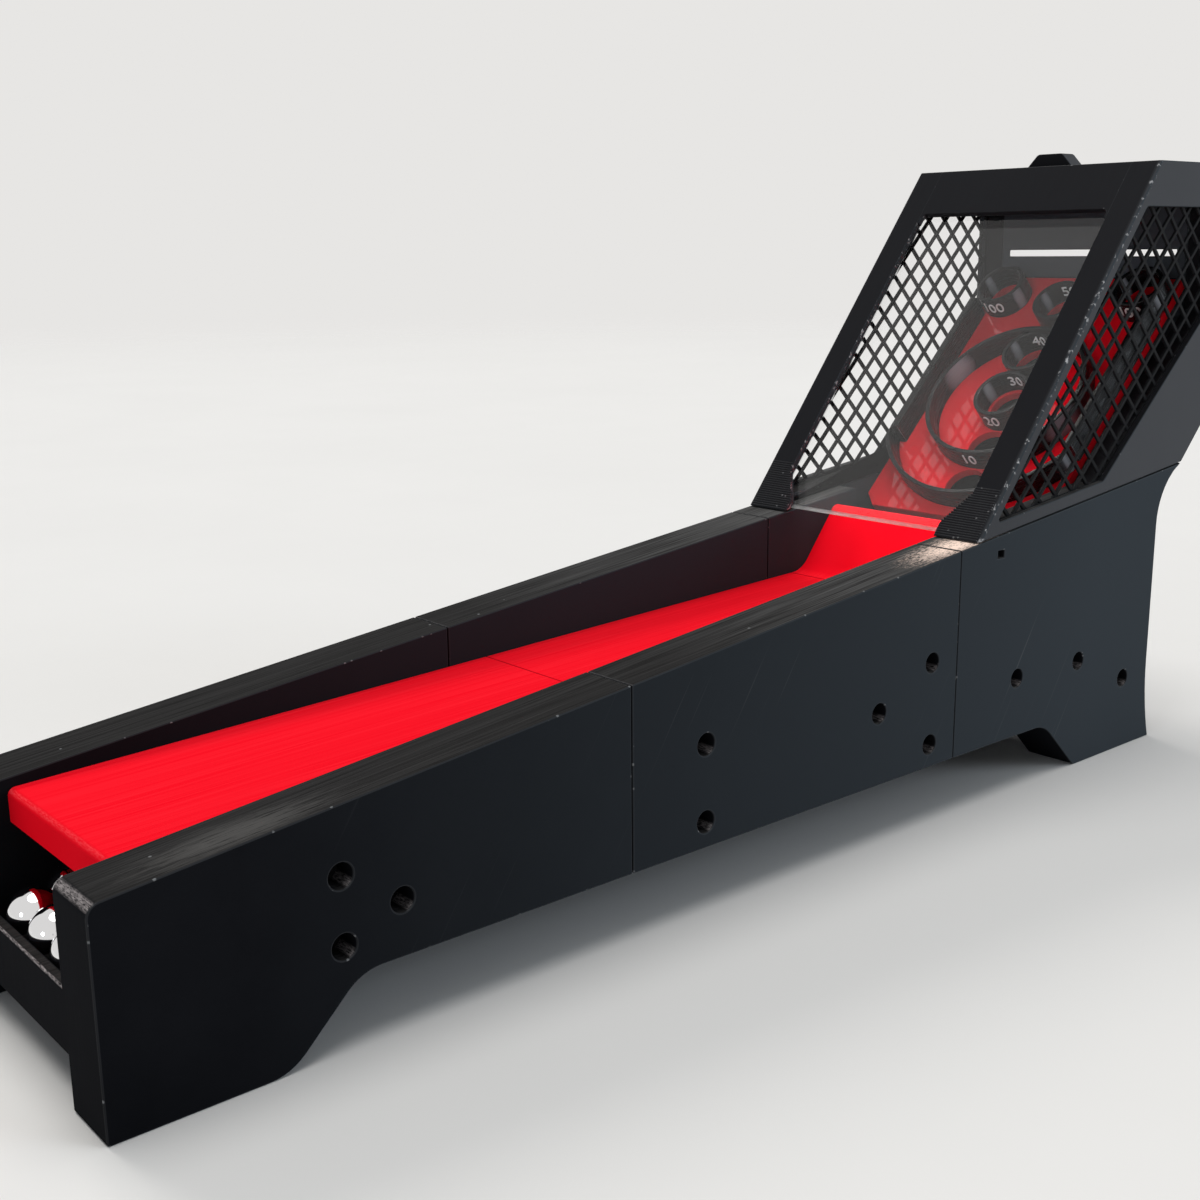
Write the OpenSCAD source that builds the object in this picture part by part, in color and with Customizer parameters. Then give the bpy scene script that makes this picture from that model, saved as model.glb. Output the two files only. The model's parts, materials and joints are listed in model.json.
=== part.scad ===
// Table-top ball-roll game: lane cabinet, lift-off hood with target board, and balls.
// Lengths in millimetres. X runs across, Y from the player to the back, Z up.

/* [Cabinet] */
// Length of the cabinet on the table
base_len = 480; // [440:1:540]
// Width over the side panels
outer_w = 120; // [112:1:140]
// Thickness of a side panel
wall_t = 21.5; // [19:0.5:24]
// Height of the panels at the front edge
front_h = 64; // [60:1:72]
// Slope of the panels' top edge, degrees
top_pitch = 6.66; // [5.5:0.02:7.5]
// Length of the front panels
front_len = 173; // [150:1:185]
// Length of the middle panels
middle_len = 164; // [150:1:175]
// Gap that shows at a panel seam
seam_gap = 0.4; // [0.2:0.1:0.8]
// Height of the panels' belly over the table
belly_h = 22.3; // [18:0.1:23]
// Length of the front foot
front_foot = 51; // [40:1:60]
// Length of the rear foot
rear_foot = 59; // [45:1:64]
// Slope of the feet's inner ends, degrees
foot_pitch = 44; // [35:1:55]
// How far the rear edge draws in above the foot
waist_in = 5.5; // [4:0.5:14]
// Height of the waist on the rear edge
waist_z = 36; // [30:1:45]
// How far the rear edge flares back at its top
flare_out = 16.5; // [12:0.5:24]
// Height over which the rear edge flares
flare_h = 25; // [20:1:30]

/* [Lane] */
// Distance from the front edge to the lane
lane_setback = 16; // [12:0.5:22]
// Drop from the panels' top to the lane at the front
lane_drop = 1.2; // [0.6:0.1:3]
// Slope of the lane, degrees
lane_pitch = 2.58; // [1.5:0.02:3.2]
// Thickness of the lane plate
lane_t = 4; // [3:0.5:5]
// Height of the lane's front lip
lip_h = 10.8; // [8:0.2:13]
// Radius of the lip's top edge
lip_r = 2.4; // [1:0.2:3.4]
// Depth of the lane's side rails
rail_depth = 17.7; // [16.7:0.1:19]
// Width of a side rail or trough wall
rail_w = 6; // [5:0.5:7]
// Distance from the ramp's foot to the cabinet's rear end
ramp_back = 129; // [124:0.5:134]
// Slope of the launch ramp, degrees
ramp_pitch = 52; // [44:1:56]
// Height of the ramp over the lane
ramp_rise = 26.4; // [21:0.2:28]
// Flat behind the ramp's crest
ramp_crest = 4.5; // [4:0.5:6]

/* [Balls and return] */
// Ball diameter
ball_d = 16; // [14:0.1:16.4]
// Height of the tray floor at its lip
tray_z = 21.6; // [19:0.2:23]
// Height of the tray lip over its floor
tray_lip = 10; // [7:0.5:12]
// Slope of the tray and the return trough, degrees
return_pitch = 2.1; // [1.5:0.1:2.6]
// Length of the tray
tray_len = 98; // [96:1:110]
// Thickness of the return floors
floor_t = 3; // [2:0.5:3.5]
// Slope of the catch hopper, degrees
hopper_pitch = 10; // [8:0.5:11]

/* [Hood] */
// Distance from the hood's front foot to the cabinet's rear end
hood_back_off = 133; // [128:0.5:138]
// Slope of the hood's front, degrees
hood_pitch = 52.1; // [50:0.1:56]
// Thickness of a hood side plate
hood_wall = 13; // [12:0.5:14.5]
// Gap between the hood and the panels under it
hood_gap = 0.5; // [0.4:0.1:1.2]
// Bevel between the hood's front and sides
hood_bevel = 1; // [0.5:0.5:5]
// Clear height from the board's top to the hood's top
headroom = 47.8; // [40:0.2:56]
// Thickness of the hood's upper back
back_t = 14; // [11:0.5:16]
// Thickness of the hood's thin walls
skin_t = 5; // [4:0.5:6]
// Height of the bar over the window
brow_h = 23.5; // [18:0.5:28]
// Thickness of the acrylic window
window_t = 3; // [2:0.5:4]
// Height of the slot in the hood's back
slot_h = 3; // [2:0.2:5]
// Width of the lift tab at its foot
tab_w = 23; // [18:0.5:32]
// Height of the lift tab
tab_h = 5.8; // [4.6:0.2:9]
// Thickness of the lift tab
tab_t = 9; // [6:0.5:12]

/* [Mesh] */
// Spacing of the mesh diamonds
mesh_pitch = 12; // [10:0.5:14]
// Width of a mesh strand
mesh_strand = 1.5; // [0.8:0.1:2]
// Depth of the mesh
mesh_t = 1.4; // [1.2:0.2:3]
// Border between the mesh opening and the hood's front
mesh_front = 5; // [4.5:0.5:8]
// Border between the mesh opening and the hood's foot
mesh_foot = 5; // [5:0.5:9]
// Border between the mesh opening and the hood's top
mesh_top = 18; // [14:1:24]
// Ledge that the mesh sits on
mesh_ledge = 1.5; // [1:0.5:2]
// Slope of the mesh opening's rear edge, degrees
mesh_rear_pitch = 42; // [40:1:45]

/* [Target] */
// Slope of the board, degrees
board_pitch = 45; // [42:1:48]
// Thickness of the board
board_t = 4; // [3:0.5:5]
// Distance from the hood's front foot to the board's lower edge
board_off = 60; // [58:0.5:64]
// How far the board's lower edge lies below the panels' top
board_drop = 11; // [8:0.5:12]
// Height of the rings over the board
ring_h = 10.6; // [7:0.2:12]
// Thickness of a ring
ring_t = 2; // [1.6:0.2:2.4]
// Free path on each side of the large ring
ring_side = 10; // [8.4:0.2:11.4]
// Room that a hole leaves round the ball
hole_room = 1; // [0.8:0.2:1.4]
// Distance from the board's lower edge to the lower rail
rail_low = 5; // [4:0.5:8]
// Thickness of the rails along the board's sides
side_rail_t = 3.5; // [2:0.5:4.5]

/* [Fasteners] */
// Diameter of the screw shanks
screw_d = 4; // [3:0.5:4.5]
// Diameter of the screw heads
head_d = 7; // [5.5:0.1:7.4]
// Diameter of the counterbores
bore_d = 7.7; // [7.5:0.1:8.4]
// Depth of the counterbores
bore_depth = 12; // [9:0.5:13]
// Diameter of the dowels
dowel_d = 4; // [3:0.5:5]
// Clearance between parts that fit together
fit = 0.2; // [0.1:0.05:0.3]

/* [Hidden] */
$fn = 48;
far = 400;
overlap = 1;
inner_half = outer_w / 2 - wall_t;
part_half = inner_half - fit;
seam_1 = front_len;
seam_2 = front_len + middle_len;
waist_y = base_len - waist_in;
rear_top_y = waist_y + flare_out;
hood_y = base_len - hood_back_off;
hood_in = outer_w / 2 - hood_wall;
ramp_y = base_len - ramp_back;

function top_z(y) = front_h + tan(top_pitch) * y;
function lane_z(y) = front_h - lane_drop + tan(lane_pitch) * (y - lane_setback);
function floor_z(y) = tray_z + tan(return_pitch) * y;
flare_z = top_z(rear_top_y) - flare_h;

// Corner rounding for outlines
function unit(v) = v / norm(v);
function corner(a, b, c, r, steps) =
    r == 0 ? [b] :
    let (
        u = unit(a - b),
        v = unit(c - b),
        half = acos(u * v) / 2,
        centre = b + unit(u + v) * r / sin(half),
        p = b + u * r / tan(half) - centre,
        q = b + v * r / tan(half) - centre,
        start = atan2(p.y, p.x),
        swing = atan2(p.x * q.y - p.y * q.x, p * q)
    )
    [for (i = [0:steps])
        let (angle = start + swing * i / steps)
        centre + r * [cos(angle), sin(angle)]];
function rounded(pts, radii, steps = 6) =
    let (n = len(pts))
    [for (i = [0:n - 1])
        each corner(pts[(i + n - 1) % n], pts[i], pts[(i + 1) % n], radii[i], steps)];
// Point where two lines meet, each given by a point and a direction
function meet(p, d, q, e) =
    p + d * ((q.x - p.x) * e.y - (q.y - p.y) * e.x) / (d.x * e.y - d.y * e.x);
// Convex outline moved outwards by a distance, its points running clockwise
function grown(pts, by) =
    let (n = len(pts))
    [for (i = [0:n - 1])
        let (
            d0 = unit(pts[i] - pts[(i + n - 1) % n]),
            d1 = unit(pts[(i + 1) % n] - pts[i])
        )
        meet(pts[i] + by * [-d0.y, d0.x], d0, pts[i] + by * [-d1.y, d1.x], d1)];

// Whole part stands centred over its footprint
module place() translate([0, -hood_rear / 2, 0]) children();
// Side outline (Y, Z) carried across from x0 to x1
module across(x0, x1) translate([x0, 0, 0]) rotate([90, 0, 90]) linear_extrude(x1 - x0) children();
module both_sides() {
    children();
    mirror([1, 0, 0]) children();
}
// Frame of the hood's sloped front: x across, y up the slope, z outwards
module on_front() translate([0, hood_y, hood_z]) rotate([hood_pitch, 0, 0]) children();
// Frame of the target board: x across, y up the board, z out of its face
module on_board() translate([0, board_y, board_z]) rotate([board_pitch, 0, 0]) children();

// Side panels
foot_run = belly_h / tan(foot_pitch);
low_r = (pow(waist_in, 2) + pow(waist_z, 2)) / (2 * waist_in);
flare_r = (pow(flare_out, 2) + pow(flare_h, 2)) / (2 * flare_out);
edge_steps = 8;
foot_r = 16;
heel_r = 4;
toe_r = 1;
panel_edge_r = 4;
rear_edge = concat(
    [for (i = [1:edge_steps])
        let (z = waist_z * i / edge_steps)
        [waist_y + low_r - sqrt(pow(low_r, 2) - pow(waist_z - z, 2)), z]],
    [for (i = [0:edge_steps - 1])
        let (z = flare_z + flare_h * i / edge_steps)
        [waist_y + flare_r - sqrt(pow(flare_r, 2) - pow(z - flare_z, 2)), z]]);
foot_edge = [
    [0, 0], [front_foot, 0], [front_foot + foot_run, belly_h],
    [base_len - rear_foot - foot_run, belly_h], [base_len - rear_foot, 0], [base_len, 0]];
top_edge = [[rear_top_y, top_z(rear_top_y)], [0, top_z(0)]];
panel_outline = rounded(
    concat(foot_edge, rear_edge, top_edge),
    concat([toe_r, foot_r, foot_r, foot_r, heel_r, 0], [for (p = rear_edge) 0], [0, panel_edge_r]));

// Screw stations: distances along the panels and heights over the belly
front_station = 69;
tray_station = 88;
middle_station = 32;
seam_station = 15;
ramp_station = 29;
station_step = 30;
rail_hole_up = 4.3;
low_hole_up = 9;
tray_hole_up = 17;
chute_hole_up = 27.5;
hopper_front_up = 24.2;
hopper_middle_up = 23.2;
// Last station that is clear of both the second seam and the ramp
rear_station = min(seam_2 - seam_station, ramp_y - ramp_station);
function station(y, up) = [y, belly_h + up];
// Point along the rear panels behind the ramp, as a share of that length
rear_from = max(seam_2, ramp_y);
function along_rear(t) = rear_from + t * (base_len - rear_from);
lane_holes = [for (y = [front_station, seam_1 + middle_station, rear_station])
    [y, lane_z(y) - rail_depth + rail_hole_up]];
tray_holes = [station(front_station, low_hole_up), station(tray_station, tray_hole_up)];
chute_holes = [
    station(seam_1 + middle_station, low_hole_up),
    station(rear_station - station_step, chute_hole_up),
    station(rear_station, low_hole_up)];
hopper_holes = [
    station(along_rear(0.2), hopper_front_up),
    station(along_rear(0.535), hopper_middle_up),
    station(along_rear(0.81), low_hole_up)];
all_holes = concat(lane_holes, tray_holes, chute_holes, hopper_holes);

// Room in the rear panels for the board's lower end
pocket_len = 87;
pocket_y = base_len - pocket_len;
pocket_room = 0.6;
pocket_x = hood_in + pocket_room;
pocket_z = 62;
// Locating tongue of the hood and its window
tongue_set = 15;
tongue_y = hood_y + tongue_set;
tongue_w = 10;
tongue_t = 4;
tongue_len = 14;
tongue_root = 3;
tongue_end = 1;
tongue_x = outer_w / 2 - hood_wall / 2;
tongue_room = 0.4;
latch_w = 4;
latch_h = 3;
latch_down = 7.5;

module screw_bore() {
    translate([outer_w / 2 - bore_depth, 0, 0]) rotate([0, 90, 0]) cylinder(d = bore_d, h = far);
    rotate([0, 90, 0]) cylinder(d = screw_d + 2 * fit, h = far);
}

dowel_len = 24;
dowel_down = 18;
dowel_up = 14;
module seam_dowel_at(y, length, d) {
    for (z = [top_z(y) - dowel_down, belly_h + dowel_up])
        translate([outer_w / 2 - wall_t / 2, y - length / 2, z]) rotate([-90, 0, 0])
            cylinder(d = d, h = length);
}

module rear_pocket() {
    floor_edge = pocket_z + inner_half - pocket_x;
    translate([0, pocket_y, 0]) rotate([-90, 0, 0]) mirror([0, 1, 0]) linear_extrude(far)
        polygon([[0, floor_edge], [inner_half, floor_edge], [pocket_x, pocket_z],
            [pocket_x, far], [0, far]]);
}

module tongue_slot() {
    slot_t = tongue_t + 2 * tongue_room;
    slot_w = tongue_w + 2 * tongue_room;
    bottom = top_z(tongue_y) - tongue_len - tongue_end;
    translate([tongue_x - slot_t / 2, tongue_y - slot_w / 2, bottom]) cube([slot_t, slot_w, far]);
    translate([tongue_x, tongue_y - latch_w / 2, top_z(tongue_y) - latch_down - latch_h / 2])
        cube([far, latch_w, latch_h]);
}

// One length of the right-hand panel, from y0 to y1
module panel_length(y0, y1) {
    difference() {
        across(inner_half, outer_w / 2) intersection() {
            polygon(panel_outline);
            translate([y0, 0]) square([y1 - y0, far]);
        }
        for (h = all_holes)
            if (h.x > y0 && h.x < y1)
                translate([0, h.x, h.y]) screw_bore();
        for (y = [seam_1, seam_2]) seam_dowel_at(y, dowel_len + 2 * fit, dowel_d + 2 * fit);
        if (y1 > base_len) {
            rear_pocket();
            tongue_slot();
        }
    }
}
module panel_front_piece() place() panel_length(-overlap, seam_1 - seam_gap / 2);
module panel_middle_piece() place() panel_length(seam_1 + seam_gap / 2, seam_2 - seam_gap / 2);
module panel_rear_piece() place() panel_length(seam_2 + seam_gap / 2, rear_top_y + overlap);

panel_black = [0.09, 0.095, 0.105];
lane_red = [0.82, 0.03, 0.06];

module front_panel_right() color(panel_black) panel_front_piece();
module front_panel_left() color(panel_black) mirror([1, 0, 0]) panel_front_piece();
module middle_panel_right() color(panel_black) panel_middle_piece();
module middle_panel_left() color(panel_black) mirror([1, 0, 0]) panel_middle_piece();
module rear_panel_right() color(panel_black) panel_rear_piece();
module rear_panel_left() color(panel_black) mirror([1, 0, 0]) panel_rear_piece();
module seam_dowels() color("silver") place() both_sides() {
    seam_dowel_at(seam_1, dowel_len, dowel_d);
    seam_dowel_at(seam_2, dowel_len, dowel_d);
}

// Lane: a plate on two side rails, in two lengths
tray_rail_y = 54;
lane_split = front_len + lane_setback;
lap_len = 12;
lap_t = 3;
shelf_len = 15;
shelf_root = 8;
shelf_y = ramp_y - shelf_root;
seat_down = 12.2;
ramp_seat = lane_z(ramp_y) - seat_down;
lip_t = 6;
lip_low_r = 0.8;
lane_rail_y = tray_rail_y;

module lane_rails(y0, y1) both_sides() across(part_half - rail_w, part_half)
    polygon([[y0, lane_z(y0) - lane_t / 2], [y1, lane_z(y1) - lane_t / 2],
        [y1, lane_z(y1) - rail_depth], [y0, lane_z(y0) - rail_depth]]);
module lane_plate(y0, y1, t) across(-part_half, part_half)
    polygon([[y0, lane_z(y0)], [y1, lane_z(y1)], [y1, lane_z(y1) - t], [y0, lane_z(y0) - t]]);
module thread_holes(holes) both_sides() for (h = holes)
    translate([0, h.x, h.y]) rotate([0, 90, 0]) cylinder(d = screw_d + 2 * fit, h = far);

module lane_front() color(lane_red) place() difference() {
    union() {
        lane_rails(lane_rail_y, lane_split);
        lane_plate(lane_setback + lip_t - overlap, lane_split, lane_t);
        across(-part_half, part_half)
            polygon(rounded([
                [lane_setback, lane_z(lane_setback)],
                [lane_setback + lip_t, lane_z(lane_setback + lip_t)],
                [lane_setback + lip_t, lane_z(lane_setback) - lip_h],
                [lane_setback, lane_z(lane_setback) - lip_h]], [lip_r, 0, 0, lip_low_r]));
    }
    thread_holes([lane_holes[0]]);
}
module lane_rear() color(lane_red) place() difference() {
    union() {
        lane_rails(lane_split + fit, ramp_y);
        lane_plate(lane_split + fit, ramp_y, lane_t);
        lap_half = part_half - rail_w - fit;
        across(-lap_half, lap_half)
            polygon([for (e = [[-lap_len, 0], [lap_len, 0], [lap_len, lap_t], [-lap_len, lap_t]])
                let (y = lane_split + e.x)
                [y, lane_z(y) - lane_t - e.y]]);
        across(-part_half, part_half)
            polygon([[shelf_y, ramp_seat], [ramp_y + shelf_len, ramp_seat],
                [ramp_y + shelf_len, ramp_seat - lap_t], [shelf_y, ramp_seat - lap_t]]);
        across(-part_half, part_half)
            polygon([[shelf_y, lane_z(ramp_y) - lane_t / 2], [ramp_y, lane_z(ramp_y) - lane_t / 2],
                [ramp_y, ramp_seat - lap_t], [shelf_y, ramp_seat - lap_t]]);
    }
    thread_holes([lane_holes[1], lane_holes[2]]);
    ramp_pin_set(dowel_d + 2 * fit, fit);
}

// Launch ramp: solid kicker seated on the lane's shelf
ramp_foot = 6.5;
ramp_start = ramp_y + fit;
crest_z = lane_z(ramp_start + ramp_foot) + ramp_rise;
crest_y = ramp_start + ramp_foot + ramp_rise / tan(ramp_pitch);
crest_fall = 1;
ramp_foot_r = 12;
crest_r = 4;
crest_back_r = 1;
ramp_steps = 10;
ramp_pin_len = 9;
ramp_pin_x = 18;
module ramp_pin_set(d, extra) for (x = [-ramp_pin_x, ramp_pin_x])
    translate([x, ramp_y + shelf_len / 2, ramp_seat - lap_t - extra])
        cylinder(d = d, h = ramp_pin_len + 2 * extra);
module launch_ramp() color(lane_red) place() difference() {
    across(-part_half, part_half)
        polygon(rounded([
            [ramp_start, ramp_seat],
            [ramp_start, lane_z(ramp_start)],
            [ramp_start + ramp_foot, lane_z(ramp_start + ramp_foot)],
            [crest_y, crest_z],
            [crest_y + ramp_crest, crest_z - crest_fall],
            [crest_y + ramp_crest, ramp_seat]],
            [0, 0, ramp_foot_r, crest_r, crest_back_r, 0], ramp_steps));
    ramp_pin_set(dowel_d + 2 * fit, fit);
}
module ramp_pins() color("silver") place() ramp_pin_set(dowel_d, 0);

// Ball tray with its lip, open to the panels in front and railed behind
lip_front = 2.4;
lip_wall = 3.6;
lip_below = 9.5;
tray_under = tray_z - lip_below;
lip_edge_r = [0.5, 0.5, 1, 1.2];
wall_over_hole = 4.5;
under_lift = 0.7;
under_z = belly_h + under_lift;
trough_half = part_half - rail_w;
module sloped_floor(y0, y1, half) across(-half, half)
    polygon([[y0, floor_z(y0)], [y1, floor_z(y1)],
        [y1, floor_z(y1) - floor_t], [y0, floor_z(y0) - floor_t]]);
module trough_walls(y0, y1, top) both_sides() across(trough_half, part_half)
    polygon([[y0, floor_z(y0) - floor_t], [y1, floor_z(y1) - floor_t], [y1, top], [y0, top]]);
tray_end = lip_front + tray_len;
tray_wall_top = belly_h + tray_hole_up + wall_over_hole;
module ball_tray() color(panel_black) place() difference() {
    union() {
        sloped_floor(lip_front + lip_wall / 2, tray_end, part_half);
        across(-part_half, part_half)
            polygon(rounded([
                [lip_front, tray_under], [lip_front + lip_wall, tray_under],
                [lip_front + lip_wall, tray_z + tray_lip], [lip_front, tray_z + tray_lip]], lip_edge_r));
        trough_walls(tray_rail_y, tray_end, tray_wall_top);
    }
    thread_holes(tray_holes);
}

// Return trough under the lane, in two lengths
chute_joint = 67;
chute_split = rear_station - chute_joint;
chute_end_in = 4;
chute_end = ramp_y - chute_end_in;
front_wall_top = tray_wall_top;
rear_wall_top = belly_h + chute_hole_up + wall_over_hole;
module chute_length(y0, y1, wall_top, holes) difference() {
    union() {
        sloped_floor(y0, y1, part_half);
        both_sides() across(trough_half, part_half)
            polygon([[y0, under_z], [y1, under_z], [y1, wall_top], [y0, wall_top]]);
    }
    thread_holes(holes);
}
module return_chute_front() color(panel_black) place()
    chute_length(tray_end + fit, chute_split, front_wall_top, [chute_holes[0]]);
module return_chute_rear() color(panel_black) place()
    chute_length(chute_split + fit, chute_end, rear_wall_top, [chute_holes[1], chute_holes[2]]);

// Catch hopper under the target, and the wall that closes the rear
back_inset = 1.5;
back_plate_t = 6;
hopper_y = chute_end + fit;
hopper_end = waist_y - back_inset - back_plate_t - fit;
hopper_wall_top = 58;
hopper_step = 0.5;
function hopper_z(y) = floor_z(chute_end) + hopper_step + tan(hopper_pitch) * (y - hopper_y);
module catch_hopper() color(panel_black) place() difference() {
    union() {
        across(-part_half, part_half)
            polygon([[hopper_y, hopper_z(hopper_y)], [hopper_end, hopper_z(hopper_end)],
                [hopper_end, hopper_z(hopper_end) - floor_t], [hopper_y, hopper_z(hopper_y) - floor_t]]);
        both_sides() across(trough_half, part_half)
            polygon([[hopper_y, under_z], [hopper_end, under_z],
                [hopper_end, hopper_wall_top], [hopper_y, hopper_wall_top]]);
    }
    thread_holes(hopper_holes);
}
module base_back() color(panel_black) place() {
    flare = [for (i = [0:edge_steps - 1])
        let (z = flare_z + flare_h * i / edge_steps)
        [waist_y - back_inset + flare_r - sqrt(pow(flare_r, 2) - pow(z - flare_z, 2)), z]];
    flare_in = [for (i = [edge_steps - 1:-1:0]) flare[i] - [back_plate_t, 0]];
    crown_y = rear_top_y - back_inset;
    crown = [for (y = [crown_y, crown_y - back_plate_t]) [y, top_z(y)]];
    rear_face = concat(flare, crown, flare_in);
    outer_y = waist_y - back_inset;
    across(-part_half, part_half)
        polygon(concat([[outer_y - back_plate_t, under_z], [outer_y, under_z]], rear_face));
    wing_z = pocket_z + fit;
    both_sides() across(part_half - overlap, pocket_x - fit)
        polygon(concat([[outer_y - back_plate_t, wing_z], [outer_y, wing_z]], rear_face));
}

// Socket screws in the counterbores
head_h = 4;
socket_d = 3.5;
socket_depth = 2;
thread_short = 0.5;
thread_len = rail_w - thread_short;
module socket_screw() {
    seat = outer_w / 2 - bore_depth;
    difference() {
        translate([seat, 0, 0]) rotate([0, 90, 0]) cylinder(d = head_d, h = head_h);
        translate([seat + head_h - socket_depth, 0, 0]) rotate([0, 90, 0])
            cylinder(d = socket_d, h = far, $fn = 6);
    }
    translate([inner_half - thread_len, 0, 0]) rotate([0, 90, 0])
        cylinder(d = screw_d, h = seat - inner_half + thread_len);
}
module screws_at(holes) place() both_sides() for (h = holes) translate([0, h.x, h.y]) socket_screw();
module lane_screws() color("dimgray") screws_at(lane_holes);
module tray_screws() color("dimgray") screws_at(tray_holes);
module chute_screws() color("dimgray") screws_at(chute_holes);
module hopper_screws() color("dimgray") screws_at(hopper_holes);

// Target board: rings stacked up the slope, each with its hole
hole_d = ball_d + 2 * hole_room;
board_gap = 0.3;
board_half = hood_in - board_gap;
large_r = board_half - ring_side;
path_room = 3.5;
ball_path = ball_d + path_room;
ring_gap = 0.6;
large_front = rail_low + ring_t + ball_path;
large_s = large_front + large_r;
large_back = large_s + large_r;
inside_len = 2 * (large_r - ring_t - ring_gap) - ball_path;
small_share = 0.525;
small_r = inside_len * small_share / 2;
small_s = large_front + ring_t + ball_path + small_r;
forty_r = inside_len * (1 - small_share) / 2;
forty_s = large_back - ring_t - ring_gap - forty_r;
cup_web = 0.4;
cup_gap = 4.6;
cup_r = hole_d / 2 + ring_t + cup_web;
fifty_s = large_back + cup_gap + cup_r;
hundred_up = 9;
hundred_s = fifty_s + hundred_up;
edge_room = 0.3;
hundred_x = board_half - cup_r - edge_room;
board_above = 2.5;
board_len = hundred_s + cup_r + board_above;
rail_share = 0.35;
// The lower rail's circle reaches past the board's sides, so that its ends meet them
rail_past = 7.3;
rail_r = board_half + rail_past;
rail_s = rail_low + rail_r;
corner_cut = 6;
seat_gap = 0.4;

board_y = hood_y + board_off;
board_z = top_z(board_y) - board_drop;
board_top_y = board_y + board_len * cos(board_pitch);
board_top_z = board_z + board_len * sin(board_pitch);
back_in = board_top_y + seat_gap;
hood_rear = back_in + back_t;
hood_z = top_z(hood_y) + hood_gap;
hood_top_z = board_top_z + headroom;
front_run = (hood_top_z - hood_z) / tan(hood_pitch);
front_rise = (hood_top_z - hood_z) / sin(hood_pitch);

function foot_line(y) = top_z(y) + hood_gap;
slant_pitch = 46;
slant_z = foot_line(rear_top_y) + (hood_rear - rear_top_y) * tan(slant_pitch);
hood_outline = [
    [hood_y, hood_z], [hood_y + front_run, hood_top_z], [hood_rear, hood_top_z],
    [hood_rear, slant_z], [rear_top_y, foot_line(rear_top_y)]];

// Mesh opening, its corners running clockwise from the lower front
slope = [cos(hood_pitch), sin(hood_pitch)];
inward = [sin(hood_pitch), -cos(hood_pitch)];
foot_dir = [cos(top_pitch), sin(top_pitch)];
board_dir = [cos(board_pitch), sin(board_pitch)];
open_front = [hood_y, hood_z] + inward * mesh_front;
open_foot = [hood_y, hood_z + mesh_foot];
open_top = [0, hood_top_z - mesh_top];
back_border = 1;
heel_set = 4;
open_rear = [back_in - back_border, 0];
open_heel = meet([board_y + heel_set, board_z], board_dir, open_foot, foot_dir);
heel_dir = [cos(mesh_rear_pitch), sin(mesh_rear_pitch)];
mesh_opening = [
    meet(open_front, slope, open_foot, foot_dir),
    meet(open_front, slope, open_top, [1, 0]),
    meet(open_top, [1, 0], open_rear, [0, 1]),
    meet(open_rear, [0, 1], open_heel, heel_dir),
    open_heel];
mesh_corner_r = [1, 3, 5, 5, 2];
mesh_lip = 2.6;
mesh_outer = outer_w / 2 - mesh_lip;

window_set = 3;
window_in = 2.6;
window_lift = 0.3;
window_down = 9;
window_top = front_rise - window_down;
window_half = hood_in + window_in;
// Point at a depth behind the hood's front, either where the window starts or where it ends
function window_low(depth) =
    meet([hood_y, hood_z] + inward * depth, slope, [hood_y, hood_z + window_lift], foot_dir);
function window_high(depth, up) = [hood_y, hood_z] + inward * depth + slope * (window_top + up);
window_depths = [window_set, window_set + window_t];
groove_depths = window_depths + [-fit, fit];

dowel_in = 5;
dowel_span = 2 * dowel_in;
// Places of the cross dowels (Y, Z), where plates meet the sides
board_out = [-sin(board_pitch), cos(board_pitch)];
board_mid = [board_y, board_z] - board_out * board_t / 2;
foot_band = (mesh_foot - mesh_ledge - fit) / 2;
board_pins = [meet(board_mid, board_dir, [0, foot_line(0) + foot_band], foot_dir)];
back_pin_down = 14;
skin_pin_up = 16;
top_pin_in = 22;
brow_pin_down = 7;
brow_pin_in = 5;
hood_pins = [
    [hood_rear - back_t / 2, hood_top_z - back_pin_down],
    [hood_rear - skin_t / 2, slant_z + skin_pin_up],
    [hood_rear - top_pin_in, hood_top_z - skin_t / 2],
    [hood_y, hood_z] + slope * (front_rise - brow_pin_down) + inward * brow_pin_in];
hood_pin_d = 2;
board_pin_d = 2;
module cross_pins(places, d, extra) both_sides() for (p = places)
    translate([hood_in - dowel_in - extra, p.x, p.y]) rotate([0, 90, 0])
        cylinder(d = d, h = dowel_span + 2 * extra, $fn = 24);

// Pins from the board's top edge into the hood's back
end_pin_in = 2;
end_pin_x = board_half - 2 * cup_r - end_pin_in;
module end_pins(d, extra) on_board() for (x = [-end_pin_x, end_pin_x])
    translate([x, board_len - dowel_in - extra, -board_t / 2]) rotate([-90, 0, 0])
        cylinder(d = d, h = dowel_span + 2 * extra, $fn = 24);

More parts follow.
